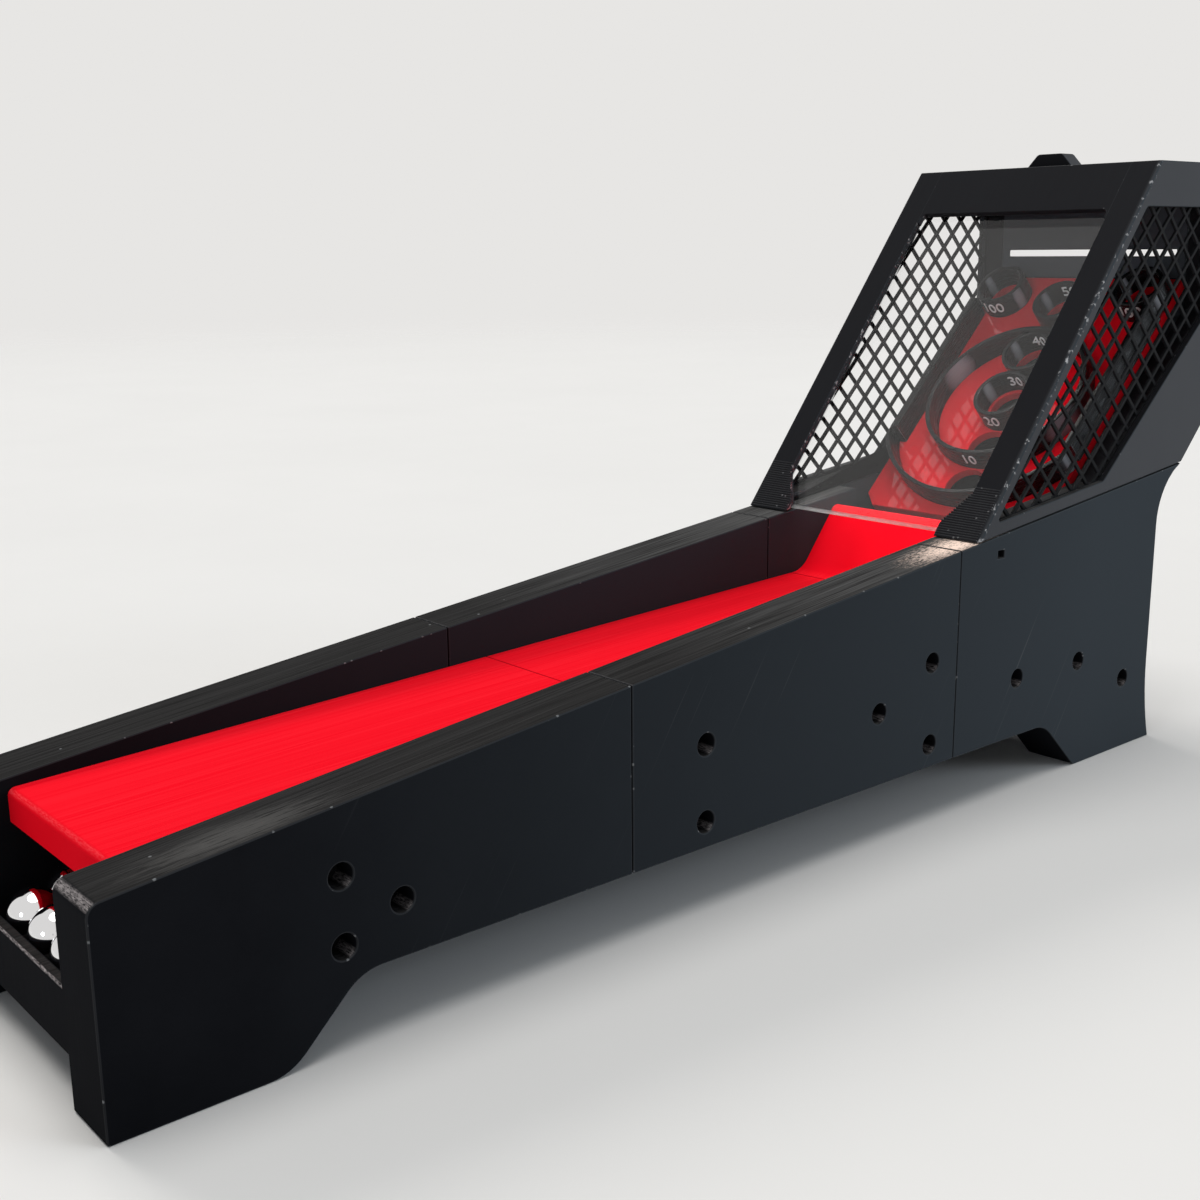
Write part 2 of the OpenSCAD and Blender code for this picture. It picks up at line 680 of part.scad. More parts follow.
// Gusset at the foot of a post, as wide as the panel under it
gusset_low = 6;
gusset_high = 21;
gusset_under = 5;
gusset_t = window_set;
bevel_side = (hood_bevel + 2 * overlap) * sqrt(2);
module hood_side_piece() place() difference() {
    union() {
        across(hood_in, outer_w / 2) polygon(hood_outline);
        translate([tongue_x - tongue_t / 2, tongue_y - tongue_w / 2, top_z(tongue_y) - tongue_len])
            cube([tongue_t, tongue_w, tongue_len + tongue_root]);
        intersection() {
            across(inner_half + fit, hood_in + overlap) polygon(hood_outline);
            on_front() translate([0, 0, -gusset_t]) linear_extrude(gusset_t)
                polygon([[hood_in + overlap, -gusset_under], [inner_half + fit, -gusset_under],
                    [inner_half + fit, gusset_low], [hood_in + overlap, gusset_high]]);
        }
    }
    across(0, far) polygon(rounded(mesh_opening, mesh_corner_r));
    across(0, mesh_outer) polygon(grown(mesh_opening, mesh_ledge + fit));
    on_front() translate([outer_w / 2 + overlap, 0, overlap]) rotate([0, 45, 0])
        cube([bevel_side, far, bevel_side], center = true);
    across(0, window_half + fit)
        polygon([window_high(groove_depths[0], overlap), window_high(groove_depths[1], overlap),
            window_low(groove_depths[1]) - slope * 2 * overlap,
            window_low(groove_depths[0]) - slope * 2 * overlap]);
    slot_cut();
    cross_pins(hood_pins, hood_pin_d + 2 * fit, fit);
    cross_pins(board_pins, board_pin_d + 2 * fit, fit);
}
module hood_side_right() color(panel_black) hood_side_piece();
module hood_side_left() color(panel_black) mirror([1, 0, 0]) hood_side_piece();

// Diamond mesh let into the side plate from within
cell = mesh_pitch / 2 - mesh_strand / sqrt(2);
mesh_cols = ceil((hood_rear - hood_y) / mesh_pitch);
mesh_rows = ceil((hood_top_z - hood_z) / mesh_pitch);
module diamonds() for (i = [0:mesh_cols], j = [0:mesh_rows], half = [0, 0.5])
    translate([hood_y + (i + half) * mesh_pitch, hood_z + (j + half) * mesh_pitch])
        polygon([[cell, 0], [0, cell], [-cell, 0], [0, -cell]]);
module mesh_piece() place() across(mesh_outer - mesh_t, mesh_outer - fit) difference() {
    polygon(grown(mesh_opening, mesh_ledge));
    intersection() {
        polygon(mesh_opening);
        diamonds();
    }
}
module mesh_right() color(panel_black) mesh_piece();
module mesh_left() color(panel_black) mirror([1, 0, 0]) mesh_piece();

// Bar over the window, with the window's rounded upper corners
brow_half = hood_in - fit / 2;
brow_low = front_rise - brow_h;
brow_r = 2.4;
brow_ear = 0.6;
brow_depth = 9;
module hood_brow() color(panel_black) place() difference() {
    intersection() {
        across(-brow_half, brow_half) polygon(hood_outline);
        on_front() union() {
            translate([0, 0, -window_set + fit]) linear_extrude(window_set)
                polygon(rounded([
                    [-brow_half, front_rise + brow_h], [-brow_half, brow_low - 2 * brow_r],
                    [-brow_half + brow_ear, brow_low - 2 * brow_r], [-brow_half + brow_ear, brow_low],
                    [brow_half - brow_ear, brow_low], [brow_half - brow_ear, brow_low - 2 * brow_r],
                    [brow_half, brow_low - 2 * brow_r], [brow_half, front_rise + brow_h]],
                    [0, 0, 0, brow_r, brow_r, 0, 0, 0]));
            translate([-brow_half, window_top + fit, -brow_depth]) cube([2 * brow_half, far, brow_depth]);
        }
    }
    cross_pins(hood_pins, hood_pin_d + 2 * fit, fit);
}
top_start = hood_y + front_run + (brow_depth + fit) / sin(hood_pitch);
module hood_top() color(panel_black) place() difference() {
    across(-brow_half, brow_half)
        polygon([[top_start, hood_top_z], [hood_rear, hood_top_z], [hood_rear, hood_top_z - skin_t],
            [top_start - skin_t / tan(hood_pitch), hood_top_z - skin_t]]);
    cross_pins(hood_pins, hood_pin_d + 2 * fit, fit);
}
// Back: thick above the board, thin behind it so that balls can fall past
slot_up = 11.2;
slot_side = 5.6;
slot_flare = 15;
slot_z = board_top_z + slot_up;
slot_half = hood_in - slot_side;
module slot_cut() translate([0, 0, slot_z - slot_h / 2]) linear_extrude(slot_h)
    polygon([[-slot_half, back_in - overlap], [slot_half, back_in - overlap],
        [slot_half + slot_flare, hood_rear + overlap], [-slot_half - slot_flare, hood_rear + overlap]]);
thin_in = hood_rear - skin_t;
slant_in = rear_top_y - skin_t / sin(slant_pitch);
function seat_line(y) = board_top_z + (seat_gap - (y - board_top_y)) / tan(board_pitch);
module hood_back() color(panel_black) place() difference() {
    across(-brow_half, brow_half)
        polygon([[hood_rear, hood_top_z - skin_t], [hood_rear, slant_z],
            [rear_top_y, foot_line(rear_top_y)], [slant_in, foot_line(slant_in)],
            [thin_in, foot_line(slant_in) + (thin_in - slant_in) * tan(slant_pitch)],
            [thin_in, seat_line(thin_in)],
            [back_in, seat_line(back_in)],
            [back_in, hood_top_z - skin_t]]);
    slot_cut();
    cross_pins(hood_pins, hood_pin_d + 2 * fit, fit);
    end_pins(board_pin_d + 2 * fit, fit);
}
module hood_dowels() color("silver") place() cross_pins(hood_pins, hood_pin_d, 0);
module board_dowels() color("silver") place() {
    cross_pins(board_pins, board_pin_d, 0);
    end_pins(board_pin_d, 0);
}

module window() color([0.75, 0.78, 0.8, 0.35]) place() across(-window_half, window_half)
    polygon([window_high(window_depths[0], 0), window_high(window_depths[1], 0),
        window_low(window_depths[1]), window_low(window_depths[0])]);

tab_top_w = 12;
tab_r = 2.5;
tab_set = 17;
tab_y = hood_y + front_run + tab_set;
module lift_tab() color(panel_black) place()
    translate([0, tab_y + tab_t / 2, hood_top_z]) rotate([90, 0, 0]) linear_extrude(tab_t)
        polygon(rounded(
            [[-tab_w / 2, 0], [-tab_top_w / 2, tab_h], [tab_top_w / 2, tab_h], [tab_w / 2, 0]],
            [0, tab_r, tab_r, 0]));

// Board and what stands on it
groove_web = 0.2;
rail_clear = 1;
groove = (board_t - board_pin_d) / 2 - fit - groove_web;
hole_places = [
    [0, rail_low + ring_t + ball_path / 2], [0, large_front + ring_t + ball_path / 2],
    [0, small_s], [0, forty_s], [0, fifty_s], [hundred_x, hundred_s], [-hundred_x, hundred_s]];
module ring_solid(x, s, r, t, z0, z1, grow = 0) translate([x, s, z0]) difference() {
    cylinder(r = r + grow, h = z1 - z0, $fn = 96);
    translate([0, 0, -overlap]) cylinder(r = r - t - grow, h = z1 - z0 + 2 * overlap, $fn = 96);
}
module ring(x, s, r) place() on_board() ring_solid(x, s, r, ring_t, -groove + fit / 2, ring_h);
module ring_groove(x, s, r) ring_solid(x, s, r, ring_t, -groove, ring_h, fit / 2);
module rail_band(z0, z1, half, grow) intersection() {
    ring_solid(0, rail_s, rail_r, ring_t, z0, z1, grow);
    translate([-half, 0, z0]) cube([2 * half, rail_s - rail_r * rail_share, z1 - z0]);
}
// Straight rails from the lower rail's ends up to the corner cups
side_start = rail_s - sqrt(pow(rail_r - ring_t, 2) - pow(board_half - fit, 2)) + rail_clear;
side_end = hundred_s - sqrt(pow(cup_r, 2) - pow(board_half - side_rail_t - hundred_x, 2)) - rail_clear;
module side_rail_bar(z0, grow, out) translate([board_half - side_rail_t - grow, side_start - grow, z0])
    cube([side_rail_t + grow + out, side_end - side_start + 2 * grow, ring_h - z0]);
module side_rail_piece() place() on_board() side_rail_bar(-groove + fit / 2, 0, 0);
module target_board() color(lane_red) place() difference() {
    on_board() difference() {
        translate([0, 0, -board_t]) linear_extrude(board_t)
            polygon([[-board_half + corner_cut, 0], [board_half - corner_cut, 0], [board_half, corner_cut],
                [board_half, board_len], [-board_half, board_len], [-board_half, corner_cut]]);
        for (p = hole_places)
            translate([p.x, p.y, -board_t - overlap]) cylinder(d = hole_d, h = board_t + 2 * overlap);
        ring_groove(0, large_s, large_r);
        ring_groove(0, small_s, small_r);
        ring_groove(0, forty_s, forty_r);
        ring_groove(0, fifty_s, cup_r);
        for (x = [-hundred_x, hundred_x]) ring_groove(x, hundred_s, cup_r);
        rail_band(-groove, ring_h, board_half + overlap, fit / 2);
        both_sides() side_rail_bar(-groove, fit / 2, overlap);
    }
    cross_pins(board_pins, board_pin_d + 2 * fit, fit);
    end_pins(board_pin_d + 2 * fit, fit);
}
module lower_rail() color(panel_black) place() on_board()
    rail_band(-groove + fit / 2, ring_h, board_half - fit, 0);
module side_rail_right() color(panel_black) side_rail_piece();
module side_rail_left() color(panel_black) mirror([1, 0, 0]) side_rail_piece();
module ring_large() color(panel_black) ring(0, large_s, large_r);
module ring_small() color(panel_black) ring(0, small_s, small_r);
module cup_forty() color(panel_black) ring(0, forty_s, forty_r);
module cup_fifty() color(panel_black) ring(0, fifty_s, cup_r);
module cup_hundred_right() color(panel_black) ring(hundred_x, hundred_s, cup_r);
module cup_hundred_left() color(panel_black) ring(-hundred_x, hundred_s, cup_r);

// Balls waiting in the tray, in three rows against the right-hand panel
ball_gap = 0.5;
ball_step = ball_d + ball_gap;
row_room = 0.3;
row_step = ball_step * sin(60) + row_room;
lip_room = 0.4;
ball_lift = 0.3;
first_row = lip_front + lip_wall + lip_room + ball_d / 2;
right_x = inner_half - ball_gap - ball_d / 2;
ball_span = 2 * (inner_half - ball_gap) - ball_d;
function row_count(offset) = floor(ball_span / ball_step - offset) + 1;
first_count = row_count(0);
second_count = row_count(0.5);
function ball_place(i) =
    i < first_count ? [right_x - i * ball_step, 0] :
    i < first_count + second_count ? [right_x - (i - first_count + 0.5) * ball_step, 1] :
    [right_x - (i - first_count - second_count + 1) * ball_step, 2];
module ball(i) color("gainsboro") place()
    let (p = ball_place(i), y = first_row + p.y * row_step)
    translate([p.x, y, floor_z(y) + ball_d / 2 + ball_lift]) sphere(d = ball_d);
module ball_1() ball(0);
module ball_2() ball(1);
module ball_3() ball(2);
module ball_4() ball(3);
module ball_5() ball(4);
module ball_6() ball(5);
module ball_7() ball(6);
module ball_8() ball(7);
module ball_9() ball(8);

front_panel_right();
front_panel_left();
middle_panel_right();
middle_panel_left();
rear_panel_right();
rear_panel_left();
seam_dowels();
lane_front();
lane_rear();
launch_ramp();
ramp_pins();
ball_tray();
return_chute_front();
return_chute_rear();
catch_hopper();
base_back();
lane_screws();
tray_screws();
chute_screws();
hopper_screws();
hood_side_right();
hood_side_left();
mesh_right();
mesh_left();
hood_brow();
hood_top();
hood_back();
hood_dowels();
window();
lift_tab();
target_board();
board_dowels();
lower_rail();
side_rail_right();
side_rail_left();
ring_large();
ring_small();
cup_forty();
cup_fifty();
cup_hundred_right();
cup_hundred_left();
ball_1();
ball_2();
ball_3();
ball_4();
ball_5();
ball_6();
ball_7();
ball_8();
ball_9();
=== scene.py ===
import json
import math

import bmesh
import bpy
from mathutils import Matrix, Vector

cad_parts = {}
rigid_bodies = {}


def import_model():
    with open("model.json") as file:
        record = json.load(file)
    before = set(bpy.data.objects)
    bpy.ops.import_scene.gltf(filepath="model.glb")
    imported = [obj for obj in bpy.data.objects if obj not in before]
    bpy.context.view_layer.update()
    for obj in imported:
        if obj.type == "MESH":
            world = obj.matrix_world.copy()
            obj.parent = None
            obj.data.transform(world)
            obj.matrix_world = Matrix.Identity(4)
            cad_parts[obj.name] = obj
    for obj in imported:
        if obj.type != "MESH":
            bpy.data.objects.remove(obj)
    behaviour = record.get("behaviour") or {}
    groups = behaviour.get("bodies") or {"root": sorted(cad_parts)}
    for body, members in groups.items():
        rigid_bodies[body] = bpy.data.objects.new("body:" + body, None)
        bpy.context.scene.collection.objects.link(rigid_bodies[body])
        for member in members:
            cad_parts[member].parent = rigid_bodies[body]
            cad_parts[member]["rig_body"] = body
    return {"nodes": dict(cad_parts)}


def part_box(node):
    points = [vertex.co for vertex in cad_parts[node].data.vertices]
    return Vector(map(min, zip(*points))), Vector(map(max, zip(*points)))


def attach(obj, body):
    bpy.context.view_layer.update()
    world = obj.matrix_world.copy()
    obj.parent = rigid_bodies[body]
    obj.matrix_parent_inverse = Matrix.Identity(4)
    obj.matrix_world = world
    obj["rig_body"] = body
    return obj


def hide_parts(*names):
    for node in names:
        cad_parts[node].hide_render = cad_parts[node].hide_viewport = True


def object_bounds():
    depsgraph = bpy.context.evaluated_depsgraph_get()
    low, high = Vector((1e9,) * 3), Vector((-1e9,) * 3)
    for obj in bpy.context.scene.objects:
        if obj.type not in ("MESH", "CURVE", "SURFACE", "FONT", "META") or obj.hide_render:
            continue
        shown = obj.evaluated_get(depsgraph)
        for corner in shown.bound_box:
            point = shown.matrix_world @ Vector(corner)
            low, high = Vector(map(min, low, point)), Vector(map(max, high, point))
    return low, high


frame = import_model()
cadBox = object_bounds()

scene = bpy.context.scene
scene.view_settings.view_transform = "Standard"
cadNodes = frame["nodes"]
frontY = cadBox[0].y
mm = 0.001
sides = ("right", "left")
print("frame loaded:", len(cadNodes), "nodes")


# a place given in mm from the middle of the front edge, on the table
def frontPlace(place):
    return Vector(place) * mm + Vector((0, frontY, 0))


# camera at the photograph's viewing angle
cameraLook = {
    "lens": 44.99,
    "sensor": 36.0,
    "yaw": 49.83,  # degrees, turned left from straight ahead
    "pitch": 13.19,
    "roll": -0.639,
    "place": (390.5, -118.4, 214.4),  # mm from the front edge
    "nearest": 0.01,
}


def makeCamera(look):
    data = bpy.data.cameras.new("viewCamera")
    data.lens = look["lens"]
    data.sensor_width = look["sensor"]
    data.clip_start = look["nearest"]
    camera = bpy.data.objects.new("viewCamera", data)
    scene.collection.objects.link(camera)
    yaw, pitch, roll = (math.radians(look[key]) for key in ("yaw", "pitch", "roll"))
    right = Vector((math.cos(yaw), math.sin(yaw), 0))
    ahead = Vector((-math.sin(yaw) * math.cos(pitch), math.cos(yaw) * math.cos(pitch), -math.sin(pitch)))
    up = right.cross(ahead)
    leanRight = right * math.cos(roll) + up * math.sin(roll)
    leanUp = up * math.cos(roll) - right * math.sin(roll)
    turn = Matrix((leanRight, leanUp, -ahead)).transposed().to_4x4()
    camera.matrix_world = Matrix.Translation(frontPlace(look["place"])) @ turn
    scene.camera = camera


makeCamera(cameraLook)
print("camera placed")


# helpers for node trees
def setInputs(tree, node, inputs):
    for key, value in inputs.items():
        if isinstance(value, bpy.types.NodeSocket):
            tree.links.new(value, node.inputs[key])
        else:
            node.inputs[key].default_value = value
    return node


def addNode(tree, kind, inputs=None, **settings):
    node = tree.nodes.new(kind)
    for key, value in settings.items():
        setattr(node, key, value)
    return setInputs(tree, node, inputs or {})


def doMath(tree, operation, first, second=0.0):
    return addNode(tree, "ShaderNodeMath", {0: first, 1: second}, operation=operation).outputs[0]


def vectorMath(tree, operation, first, second=(0, 0, 0)):
    made = addNode(tree, "ShaderNodeVectorMath", {0: first, 1: second}, operation=operation).outputs
    return made["Value"] if operation in ("LENGTH", "DOT_PRODUCT") else made["Vector"]


def remap(tree, value, low, high, toLow=0.0, toHigh=1.0):
    inputs = {"Value": value, "From Min": low, "From Max": high, "To Min": toLow, "To Max": toHigh}
    return addNode(tree, "ShaderNodeMapRange", inputs).outputs["Result"]


def mixColour(tree, factor, first, second):
    inputs = {0: factor, 6: first, 7: second}
    return addNode(tree, "ShaderNodeMix", inputs, data_type="RGBA").outputs[2]


def addSockets(tree, inputs, outputs):
    for label, kind, value in inputs:
        socket = tree.interface.new_socket(label, in_out="INPUT", socket_type="NodeSocket" + kind)
        if value is not None:
            socket.default_value = value
    for label, kind in outputs:
        tree.interface.new_socket(label, in_out="OUTPUT", socket_type="NodeSocket" + kind)
    return tree.nodes.new("NodeGroupInput").outputs, tree.nodes.new("NodeGroupOutput").inputs


# shader groups that several finishes share
def shaderGroup(name, inputs):
    tree = bpy.data.node_groups.new(name, "ShaderNodeTree")
    given, made = addSockets(tree, [("Vector", "Vector", (0, 0, 0))] + inputs, [("Mask", "Float")])
    return tree, given, made


def noiseOf(tree, vector, scale, detail, roughness=0.55):
    inputs = {"Vector": vector, "Scale": scale, "Detail": detail, "Roughness": roughness}
    return addNode(tree, "ShaderNodeTexNoise", inputs).outputs["Fac"]


def stretchedNoise(tree, vector, stretch, grain):
    drawn = vectorMath(tree, "MULTIPLY", vector, stretch)
    return noiseOf(tree, drawn, 1.0, grain["detail"], grain["roughness"])


streakGrain = {"detail": 4.0, "roughness": 0.6}


def makeStreakGroup():
    tree, given, made = shaderGroup("layerStreaks", [
        ("Stretch", "Vector", (1, 1, 1)), ("Spread", "Float", 0.2)])
    noise = stretchedNoise(tree, given["Vector"], given["Stretch"], streakGrain)
    low = doMath(tree, "SUBTRACT", 0.5, given["Spread"])
    high = doMath(tree, "ADD", 0.5, given["Spread"])
    tree.links.new(remap(tree, noise, low, high), made["Mask"])
    return tree


def makeSpeckGroup():
    tree, given, made = shaderGroup("printSpecks", [
        ("Scale", "Float", 200.0), ("Size", "Float", 0.15), ("Share", "Float", 0.1)])
    cells = addNode(tree, "ShaderNodeTexVoronoi", {"Vector": given["Vector"], "Scale": given["Scale"]})
    half = doMath(tree, "MULTIPLY", given["Size"], 0.5)
    near = remap(tree, cells.outputs["Distance"], given["Size"], half)
    tint = addNode(tree, "ShaderNodeSeparateColor", {"Color": cells.outputs["Color"]})
    picked = doMath(tree, "LESS_THAN", tint.outputs[0], given["Share"])
    tree.links.new(doMath(tree, "MULTIPLY", near, picked), made["Mask"])
    return tree


scratchGrain = {"detail": 2.0, "roughness": 0.55, "fade": 0.06, "patchScale": 14.0,
                "patches": (0.48, 0.62)}


def makeScratchGroup():
    tree, given, made = shaderGroup("paleScratches", [
        ("Angle", "Float", -1.0), ("Stretch", "Vector", (1, 7, 620)), ("Cut", "Float", 0.66)])
    turned = addNode(tree, "ShaderNodeVectorRotate", {
        "Vector": given["Vector"], "Angle": given["Angle"]}, rotation_type="X_AXIS").outputs[0]
    lines = stretchedNoise(tree, turned, given["Stretch"], scratchGrain)
    high = doMath(tree, "ADD", given["Cut"], scratchGrain["fade"])
    thin = remap(tree, lines, given["Cut"], high)
    broad = noiseOf(tree, given["Vector"], scratchGrain["patchScale"], scratchGrain["detail"])
    patches = remap(tree, broad, *scratchGrain["patches"])
    tree.links.new(doMath(tree, "MULTIPLY", thin, patches), made["Mask"])
    return tree


hazeGrain = {"detail": 5.0, "roughness": 0.65, "range": (0.3, 0.7)}


def makeHazeGroup():
    tree, given, made = shaderGroup("handlingHaze", [("Scale", "Float", 12.0)])
    broad = noiseOf(tree, given["Vector"], given["Scale"], hazeGrain["detail"], hazeGrain["roughness"])
    tree.links.new(remap(tree, broad, *hazeGrain["range"]), made["Mask"])
    return tree


def makeTopGroup():
    tree, given, made = shaderGroup("upwardFaces", [("Start", "Float", 0.9), ("Full", "Float", 0.985)])
    parts = addNode(tree, "ShaderNodeSeparateXYZ", {0: given["Vector"]})
    tree.links.new(remap(tree, parts.outputs["Z"], given["Start"], given["Full"]), made["Mask"])
    return tree


# painted highlight patches: grainy glare that fades out from a centre
glintPatchGrain = {"detail": 4.0, "roughness": 0.75, "core": 0.2, "lift": 0.19, "range": (0.52, 0.66)}


def makeGlintPatchGroup():
    tree, given, made = shaderGroup("paintedGlintPatch", [
        ("Centre", "Vector", (0, 0, 0)), ("Reach", "Vector", (1, 1, 1)),
        ("Grain", "Vector", (900, 400, 400))])
    away = vectorMath(tree, "SUBTRACT", given["Vector"], given["Centre"])
    length = vectorMath(tree, "LENGTH", vectorMath(tree, "DIVIDE", away, given["Reach"]))
    near = remap(tree, length, 1.0, glintPatchGrain["core"])
    grain = stretchedNoise(tree, given["Vector"], given["Grain"], glintPatchGrain)
    above = doMath(tree, "ADD", grain, doMath(tree, "MULTIPLY", near, glintPatchGrain["lift"]))
    paintedGlints = remap(tree, above, *glintPatchGrain["range"])
    tree.links.new(doMath(tree, "MULTIPLY", near, paintedGlints), made["Mask"])
    return tree


wearGrain = {"detail": 3.0, "roughness": 0.6, "core": 0.3, "stretch": (700, 420, 420),
             "range": (0.58, 0.66)}


def makeWearGroup():
    tree, given, made = shaderGroup("edgeWear", [
        ("Outward", "Vector", (0, 0, 1)), ("Offset", "Float", 0.0), ("Reach", "Float", 0.002)])
    level = vectorMath(tree, "DOT_PRODUCT", given["Vector"], given["Outward"])
    depth = doMath(tree, "SUBTRACT", given["Offset"], level)
    core = doMath(tree, "MULTIPLY", given["Reach"], wearGrain["core"])
    near = remap(tree, depth, given["Reach"], core)
    grain = stretchedNoise(tree, given["Vector"], wearGrain["stretch"], wearGrain)
    worn = remap(tree, grain, *wearGrain["range"])
    tree.links.new(doMath(tree, "MULTIPLY", near, worn), made["Mask"])
    return tree


shaderGroups = {tree.name: tree for tree in (
    makeStreakGroup(), makeSpeckGroup(), makeScratchGroup(), makeHazeGroup(), makeTopGroup(),
    makeGlintPatchGroup(), makeWearGroup())}


def useGroup(tree, name, inputs):
    node = tree.nodes.new("ShaderNodeGroup")
    node.node_tree = shaderGroups[name]
    return setInputs(tree, node, inputs).outputs["Mask"]


def startMaterial(name):
    material = bpy.data.materials.new(name)
    material.use_nodes = True
    tree = material.node_tree
    where = tree.nodes.new("ShaderNodeTexCoord").outputs
    return material, tree, tree.nodes["Principled BSDF"], where


# printed plastic: fine lines on the faces that were printed upwards, plain elsewhere
blackLook = {
    "dark": (0.0055, 0.0058, 0.0072, 1),
    "pale": (0.0090, 0.0095, 0.0115, 1),
    "topDark": (0.0130, 0.0126, 0.0126, 1),
    "topPale": (0.0340, 0.0332, 0.0332, 1),
    "speck": (0.17, 0.175, 0.18, 1),
    "lean": 0.0,  # degrees that the lines are tipped about X
    "stretch": (1300, 20, 20),  # lines to the metre along each axis
    "spread": 0.18,
    "lines": "up",  # their relief is on upward faces, or on all
    "rough": (0.52, 0.66),
    "specular": 0.005,
    "relief": 0.05,  # mm
    "scratch": 0.32,
    "specks": (170, 0.10, 0.05),  # to the metre, size, share
    # painted sheen: flanks paler and bluer and top lines paler towards the rear, a painted reflection; in
    # mm from the front edge
    "sheen": {"from": 40.0, "to": 430.0, "colour": (0.048, 0.057, 0.066, 1), "topFrom": 190.0,
              "top": 0.16},
    "corner": (0.34, 0.31, 0.31, 1),  # print layers where a front edge rounds over, painted pale as a highlight
    "wear": 0.0,  # mm of rubbed edge down the hood's posts
    "gleam": None,  # painted highlight: paler on faces turned one way
    "paintedGlints": [  # painted highlights: glinting patches on top faces
        {"centre": (53.0, 343.0, 104.0), "reach": (13.0, 42.0, 10.0), "grain": (1500, 420, 420),
         "colour": (0.98, 0.76, 0.64, 1)},
        {"centre": (53.0, 42.0, 69.0), "reach": (12.0, 46.0, 12.0), "grain": (1300, 70, 70),
         "colour": (0.074, 0.072, 0.070, 1)},
    ],
}
# bevel finish: paler than the faces, a painted highlight along the edges, with specks of real wear
edgeLook = dict(blackLook, dark=(0.014, 0.0145, 0.0165, 1), pale=(0.026, 0.027, 0.030, 1), specular=0.03,
                rough=(0.38, 0.52), relief=0.03, scratch=0.0, specks=(520, 0.30, 0.10), paintedGlints=[],
                corner=(0.10, 0.097, 0.097, 1))
# the hood shares the painted sheen: its sides are painted paler towards the rear
hoodLook = dict(blackLook, dark=(0.0082, 0.0086, 0.0106, 1), pale=(0.0110, 0.0115, 0.0138, 1),
                topDark=(0.010, 0.0105, 0.012, 1), topPale=(0.024, 0.0245, 0.026, 1), stretch=(700, 40, 40),
                specular=0.06, relief=0.025, scratch=0.0, paintedGlints=[], wear=2.6, corner=None,
                sheen=dict(blackLook["sheen"], colour=(0.066, 0.069, 0.076, 1), top=0.05))
hoodEdgeLook = dict(edgeLook, wear=hoodLook["wear"], corner=None)
innerLook = dict(blackLook, corner=None, paintedGlints=[], scratch=0.0)
# painted reflection: the back's front-facing faces painted paler
backLook = dict(hoodLook, relief=0.0, gleam={
    "facing": (0, -1, 0), "spread": (0.6, 0.9), "colour": (0.050, 0.056, 0.067, 1)})
meshLook = dict(hoodLook, dark=(0.008, 0.0084, 0.0095, 1), pale=(0.012, 0.0125, 0.014, 1),
                sheen=None, wear=0.0)
# painted highlight: a pale band on the ring walls that face one way
ringLook = dict(hoodLook, dark=(0.0040, 0.0042, 0.0048, 1), pale=(0.0065, 0.0068, 0.0075, 1), lean=-45.0,
                stretch=(40, 40, 2200), lines="all", rough=(0.22, 0.32), specular=0.30, relief=0.12,
                specks=(300, 0.1, 0.02), sheen=None, wear=0.0,
                gleam={"facing": (0.94, -0.24, -0.24), "spread": (0.965, 0.998),
                       "colour": (0.34, 0.36, 0.40, 1)})
redLook = {
    "dark": (0.84, 0.0030, 0.0120, 1),
    "pale": (0.90, 0.0060, 0.0180, 1),
    "topDark": (0.90, 0.0040, 0.0150, 1),
    "topPale": (0.98, 0.0150, 0.0290, 1),
    "speck": (0.95, 0.20, 0.20, 1),
    "lean": 0.0,
    "stretch": (900, 8, 40),
    "spread": 0.2,
    "lines": "up",
    "rough": (0.46, 0.60),
    "specular": 0.001,
    "relief": 0.03,
    "scratch": 0.0,
    "specks": (140, 0.07, 0.02),
    "sheen": None,
    # the lip's layers painted pale, a painted highlight along the rounded edge
    "corner": (0.97, 0.045, 0.060, 1),
    "wear": 0.0,
    "gleam": None,
    "paintedGlints": [],
}
rampLook = dict(redLook, corner=None)
redEdgeLook = dict(redLook, corner=None, dark=(0.55, 0.004, 0.012, 1), pale=(0.70, 0.006, 0.016, 1),
                   specular=0.005)
# the board's red is darker than the lane's red: painted shade for the shadow under the hood
boardLook = dict(redLook, corner=None, lean=-45.0, stretch=(30, 700, 30), lines="all", relief=0.0,
                 dark=(0.60, 0.0030, 0.0100, 1), pale=(0.66, 0.0060, 0.0150, 1), rough=(0.02, 0.04),
                 specular=0.6)
numeralLook = dict(redLook, corner=None, dark=(0.66, 0.67, 0.68, 1), pale=(0.78, 0.79, 0.80, 1),
                   topDark=(0.66, 0.67, 0.68, 1), topPale=(0.78, 0.79, 0.80, 1),
                   speck=(0.85, 0.85, 0.85, 1))


levelGap = 0.1 * mm  # corners this close in height count as level


# frame on a front post of the hood: across, up the post, out of its front
def postFrame(node):
    spots = [vert.co for vert in cadNodes[node].data.vertices]
    foot = min(spots, key=lambda spot: spot.y)
    peak = max(spot.z for spot in spots)
    top = min((spot for spot in spots if spot.z > peak - levelGap), key=lambda spot: spot.y)
    up = Vector((0, top.y - foot.y, top.z - foot.z)).normalized()
    out = Vector((1, 0, 0)).cross(up)
    turned = Matrix((Vector((1, 0, 0)), up, out)).transposed().to_4x4()
    turned.translation = Vector((0, foot.y, foot.z))
    return turned


# where a printed finish finds its flanks, corners and grain
printShape = {
    "flank": (0.4, 0.8),
    "cornerRise": (0.35, 0.6),
    "cornerTop": (0.95, 0.85),
    "cornerFront": (-0.15, -0.4),
    "cornerStretch": (600, 2400, 2400),
    "cornerSpread": 0.16,
    "wornEdge": (0.55, 0.55, 0.56, 1),
    "uneven": (0.6, 0.4),  # shares of the haze and of the lines in the roughness
    "grainScale": 1600.0,
    "grainDetail": 2.0,
    "grainHeight": 0.4,
}


